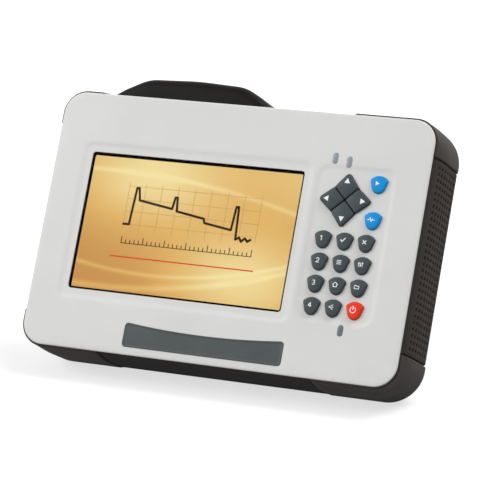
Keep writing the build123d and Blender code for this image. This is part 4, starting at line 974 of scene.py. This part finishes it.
# polyimide film over copper: glossy amber
amber_film = surface("polyimide_ribbon", "#d9a53c", "#cb9630", 0.28, 0.5, 0.003, blotch=6)
FINISHES = {
    shell_abs: "rear_shell battery_cover port_panel speaker dc_jack",
    flap_rubber: "data_port_cover rubber_feet kickstand_foot",
    blasted: "kickstand",
    turned_steel: "kickstand_pins port_cover_pin rear_screws board_screws",
    gilt: "otdr_port power_meter_port vfl_port",
    lacquer: "main_board keypad_board",
    tin: "otdr_module lcd_module chassis_frame rj45_socket usb_a_socket usb_b_socket",
    dome_silicone: "keymat",
    film: "battery_pack",
    black_seal: "case_seal screen_gasket",
    amber_film: "lcd_ribbon"}
for stuff, names in FINISHES.items():
    for name in names.split():
        for holder in frame["nodes"][name].material_slots:
            holder.material = stuff

# ---------------------------------------------------------------- stage, light and camera
# A wide white floor takes the shadow.  One large soft box stands in front on the left and a
# smaller one hangs over the right, in an even white surround, as in a product studio.
FLOOR_R, LIGHTS_AIM = 9.0, (0, 0, 0.08)          # metres
# degrees and mm, in the tester's upright axes
CAMERA = dict(turn=23.65, rise=-9.53, roll=10.26, off=(-9.49, 3.72), far=1507.3, lens=187.5)


def in_sight(tree, share):
    """1 for rays from the eye, share for those that gloss and glass send on, else 0."""
    ray = add(tree, "LightPath").outputs
    bent = add(tree, "Math", {0: ray["Is Glossy Ray"], 1: ray["Is Transmission Ray"]})
    return add(tree, "Math", {0: bent.outputs[0], 1: share, 2: ray["Is Camera Ray"]},
               operation="MULTIPLY_ADD", use_clamp=True).outputs[0]


def placed(made, x, y, z, at):
    """An object set up by its own axes, as unit vectors, and its place in metres."""
    bpy.context.collection.objects.link(made)
    turn = np.eye(4)
    turn[:3, :3] = np.stack([x, y, z], -1)
    turn[:3, 3] = at
    made.matrix_world = Matrix(turn)


def soft_box(name, at, size, watts):
    """Square soft box of size metres at a point, facing the tester's middle."""
    data = bpy.data.lights.new(name, "AREA")
    data.shape, data.size, data.energy = "SQUARE", size, watts
    z = np.array(at, float) - LIGHTS_AIM
    z /= np.linalg.norm(z)
    x = np.cross((0, 0, 1), z)
    x /= np.linalg.norm(x)
    placed(bpy.data.objects.new(name, data), x, np.cross(z, x), z, at)


mesh = bpy.data.meshes.new("white_floor")
rim = np.insert(sweep(0, 0, FLOOR_R, 0, 355, 72), 2, 0.0, axis=1)
mesh.from_pydata(rim.tolist(), [], [tuple(range(len(rim)))])
paper = bpy.data.objects.new("white_floor", mesh)
bpy.context.collection.objects.link(paper)
# background paper: it glows a little more with distance, so it melts into the white surround
# and only the shadow round the tester shows
matt_white = bpy.data.materials.new("white_paper")
matt_white.use_nodes = True
tree = matt_white.node_tree
tree.nodes.clear()
seen = in_sight(tree, 0.2)
away = add(tree, "VectorMath", {0: add(tree, "TexCoord").outputs["Object"]}, operation="LENGTH")
fade = add(tree, "MapRange", {"Value": away.outputs["Value"]}, From_Min=0.1, From_Max=0.6,
           To_Min=0.66, To_Max=0.85)
level = add(tree, "Math", {0: fade.outputs["Result"], 1: seen}, operation="MULTIPLY")
sheet = add(tree, "BsdfDiffuse", Color=linear("#a8a8a8"))
glow = add(tree, "Emission", {"Strength": level.outputs[0]}, Color=(1, 1, 1, 1))
both = add(tree, "AddShader", {0: sheet.outputs[0], 1: glow.outputs[0]})
add(tree, "OutputMaterial", {"Surface": both.outputs[0]})
mesh.materials.append(matt_white)

world = bpy.data.worlds.new("studio")
bpy.context.scene.world = world
world.use_nodes = True
tree = world.node_tree
tree.nodes.clear()
level = add(tree, "MapRange", {"Value": in_sight(tree, 1.0)}, To_Min=0.34, To_Max=1.0)
white = add(tree, "Background", {"Strength": level.outputs["Result"]}, Color=(1, 1, 1, 1))
add(tree, "OutputWorld", {"Surface": white.outputs[0]})

soft_box("soft_box_left", (-3.4, -2.3, 2.5), 3.0, 156)
soft_box("soft_box_over", (1.6, 0.6, 2.8), 2.2, 90)

# the camera stands far from the panel's middle, turn to its right and rise above it, rolled
# about its own axis, and sees that middle off its centre line
a, e, r = (np.radians(CAMERA[k]) for k in ("turn", "rise", "roll"))
back = np.array([np.sin(a) * np.cos(e), -np.cos(a) * np.cos(e), np.sin(e)])
right = np.array([np.cos(a), np.sin(a), 0.0])
up = np.cross(back, right)
axes = np.stack([right * np.cos(r) + up * np.sin(r), up * np.cos(r) - right * np.sin(r), back])
spot = np.array([0, 0, ZC]) - (*CAMERA["off"], -CAMERA["far"]) @ axes
data = bpy.data.cameras.new("camera")
data.lens, data.sensor_width = CAMERA["lens"], 36.0
data.clip_start, data.clip_end = 0.05, 50
camera = bpy.data.objects.new("camera", data)
placed(camera, *leaned(axes), place(spot))
bpy.context.scene.camera = camera
bpy.context.scene.view_settings.view_transform = "Standard"
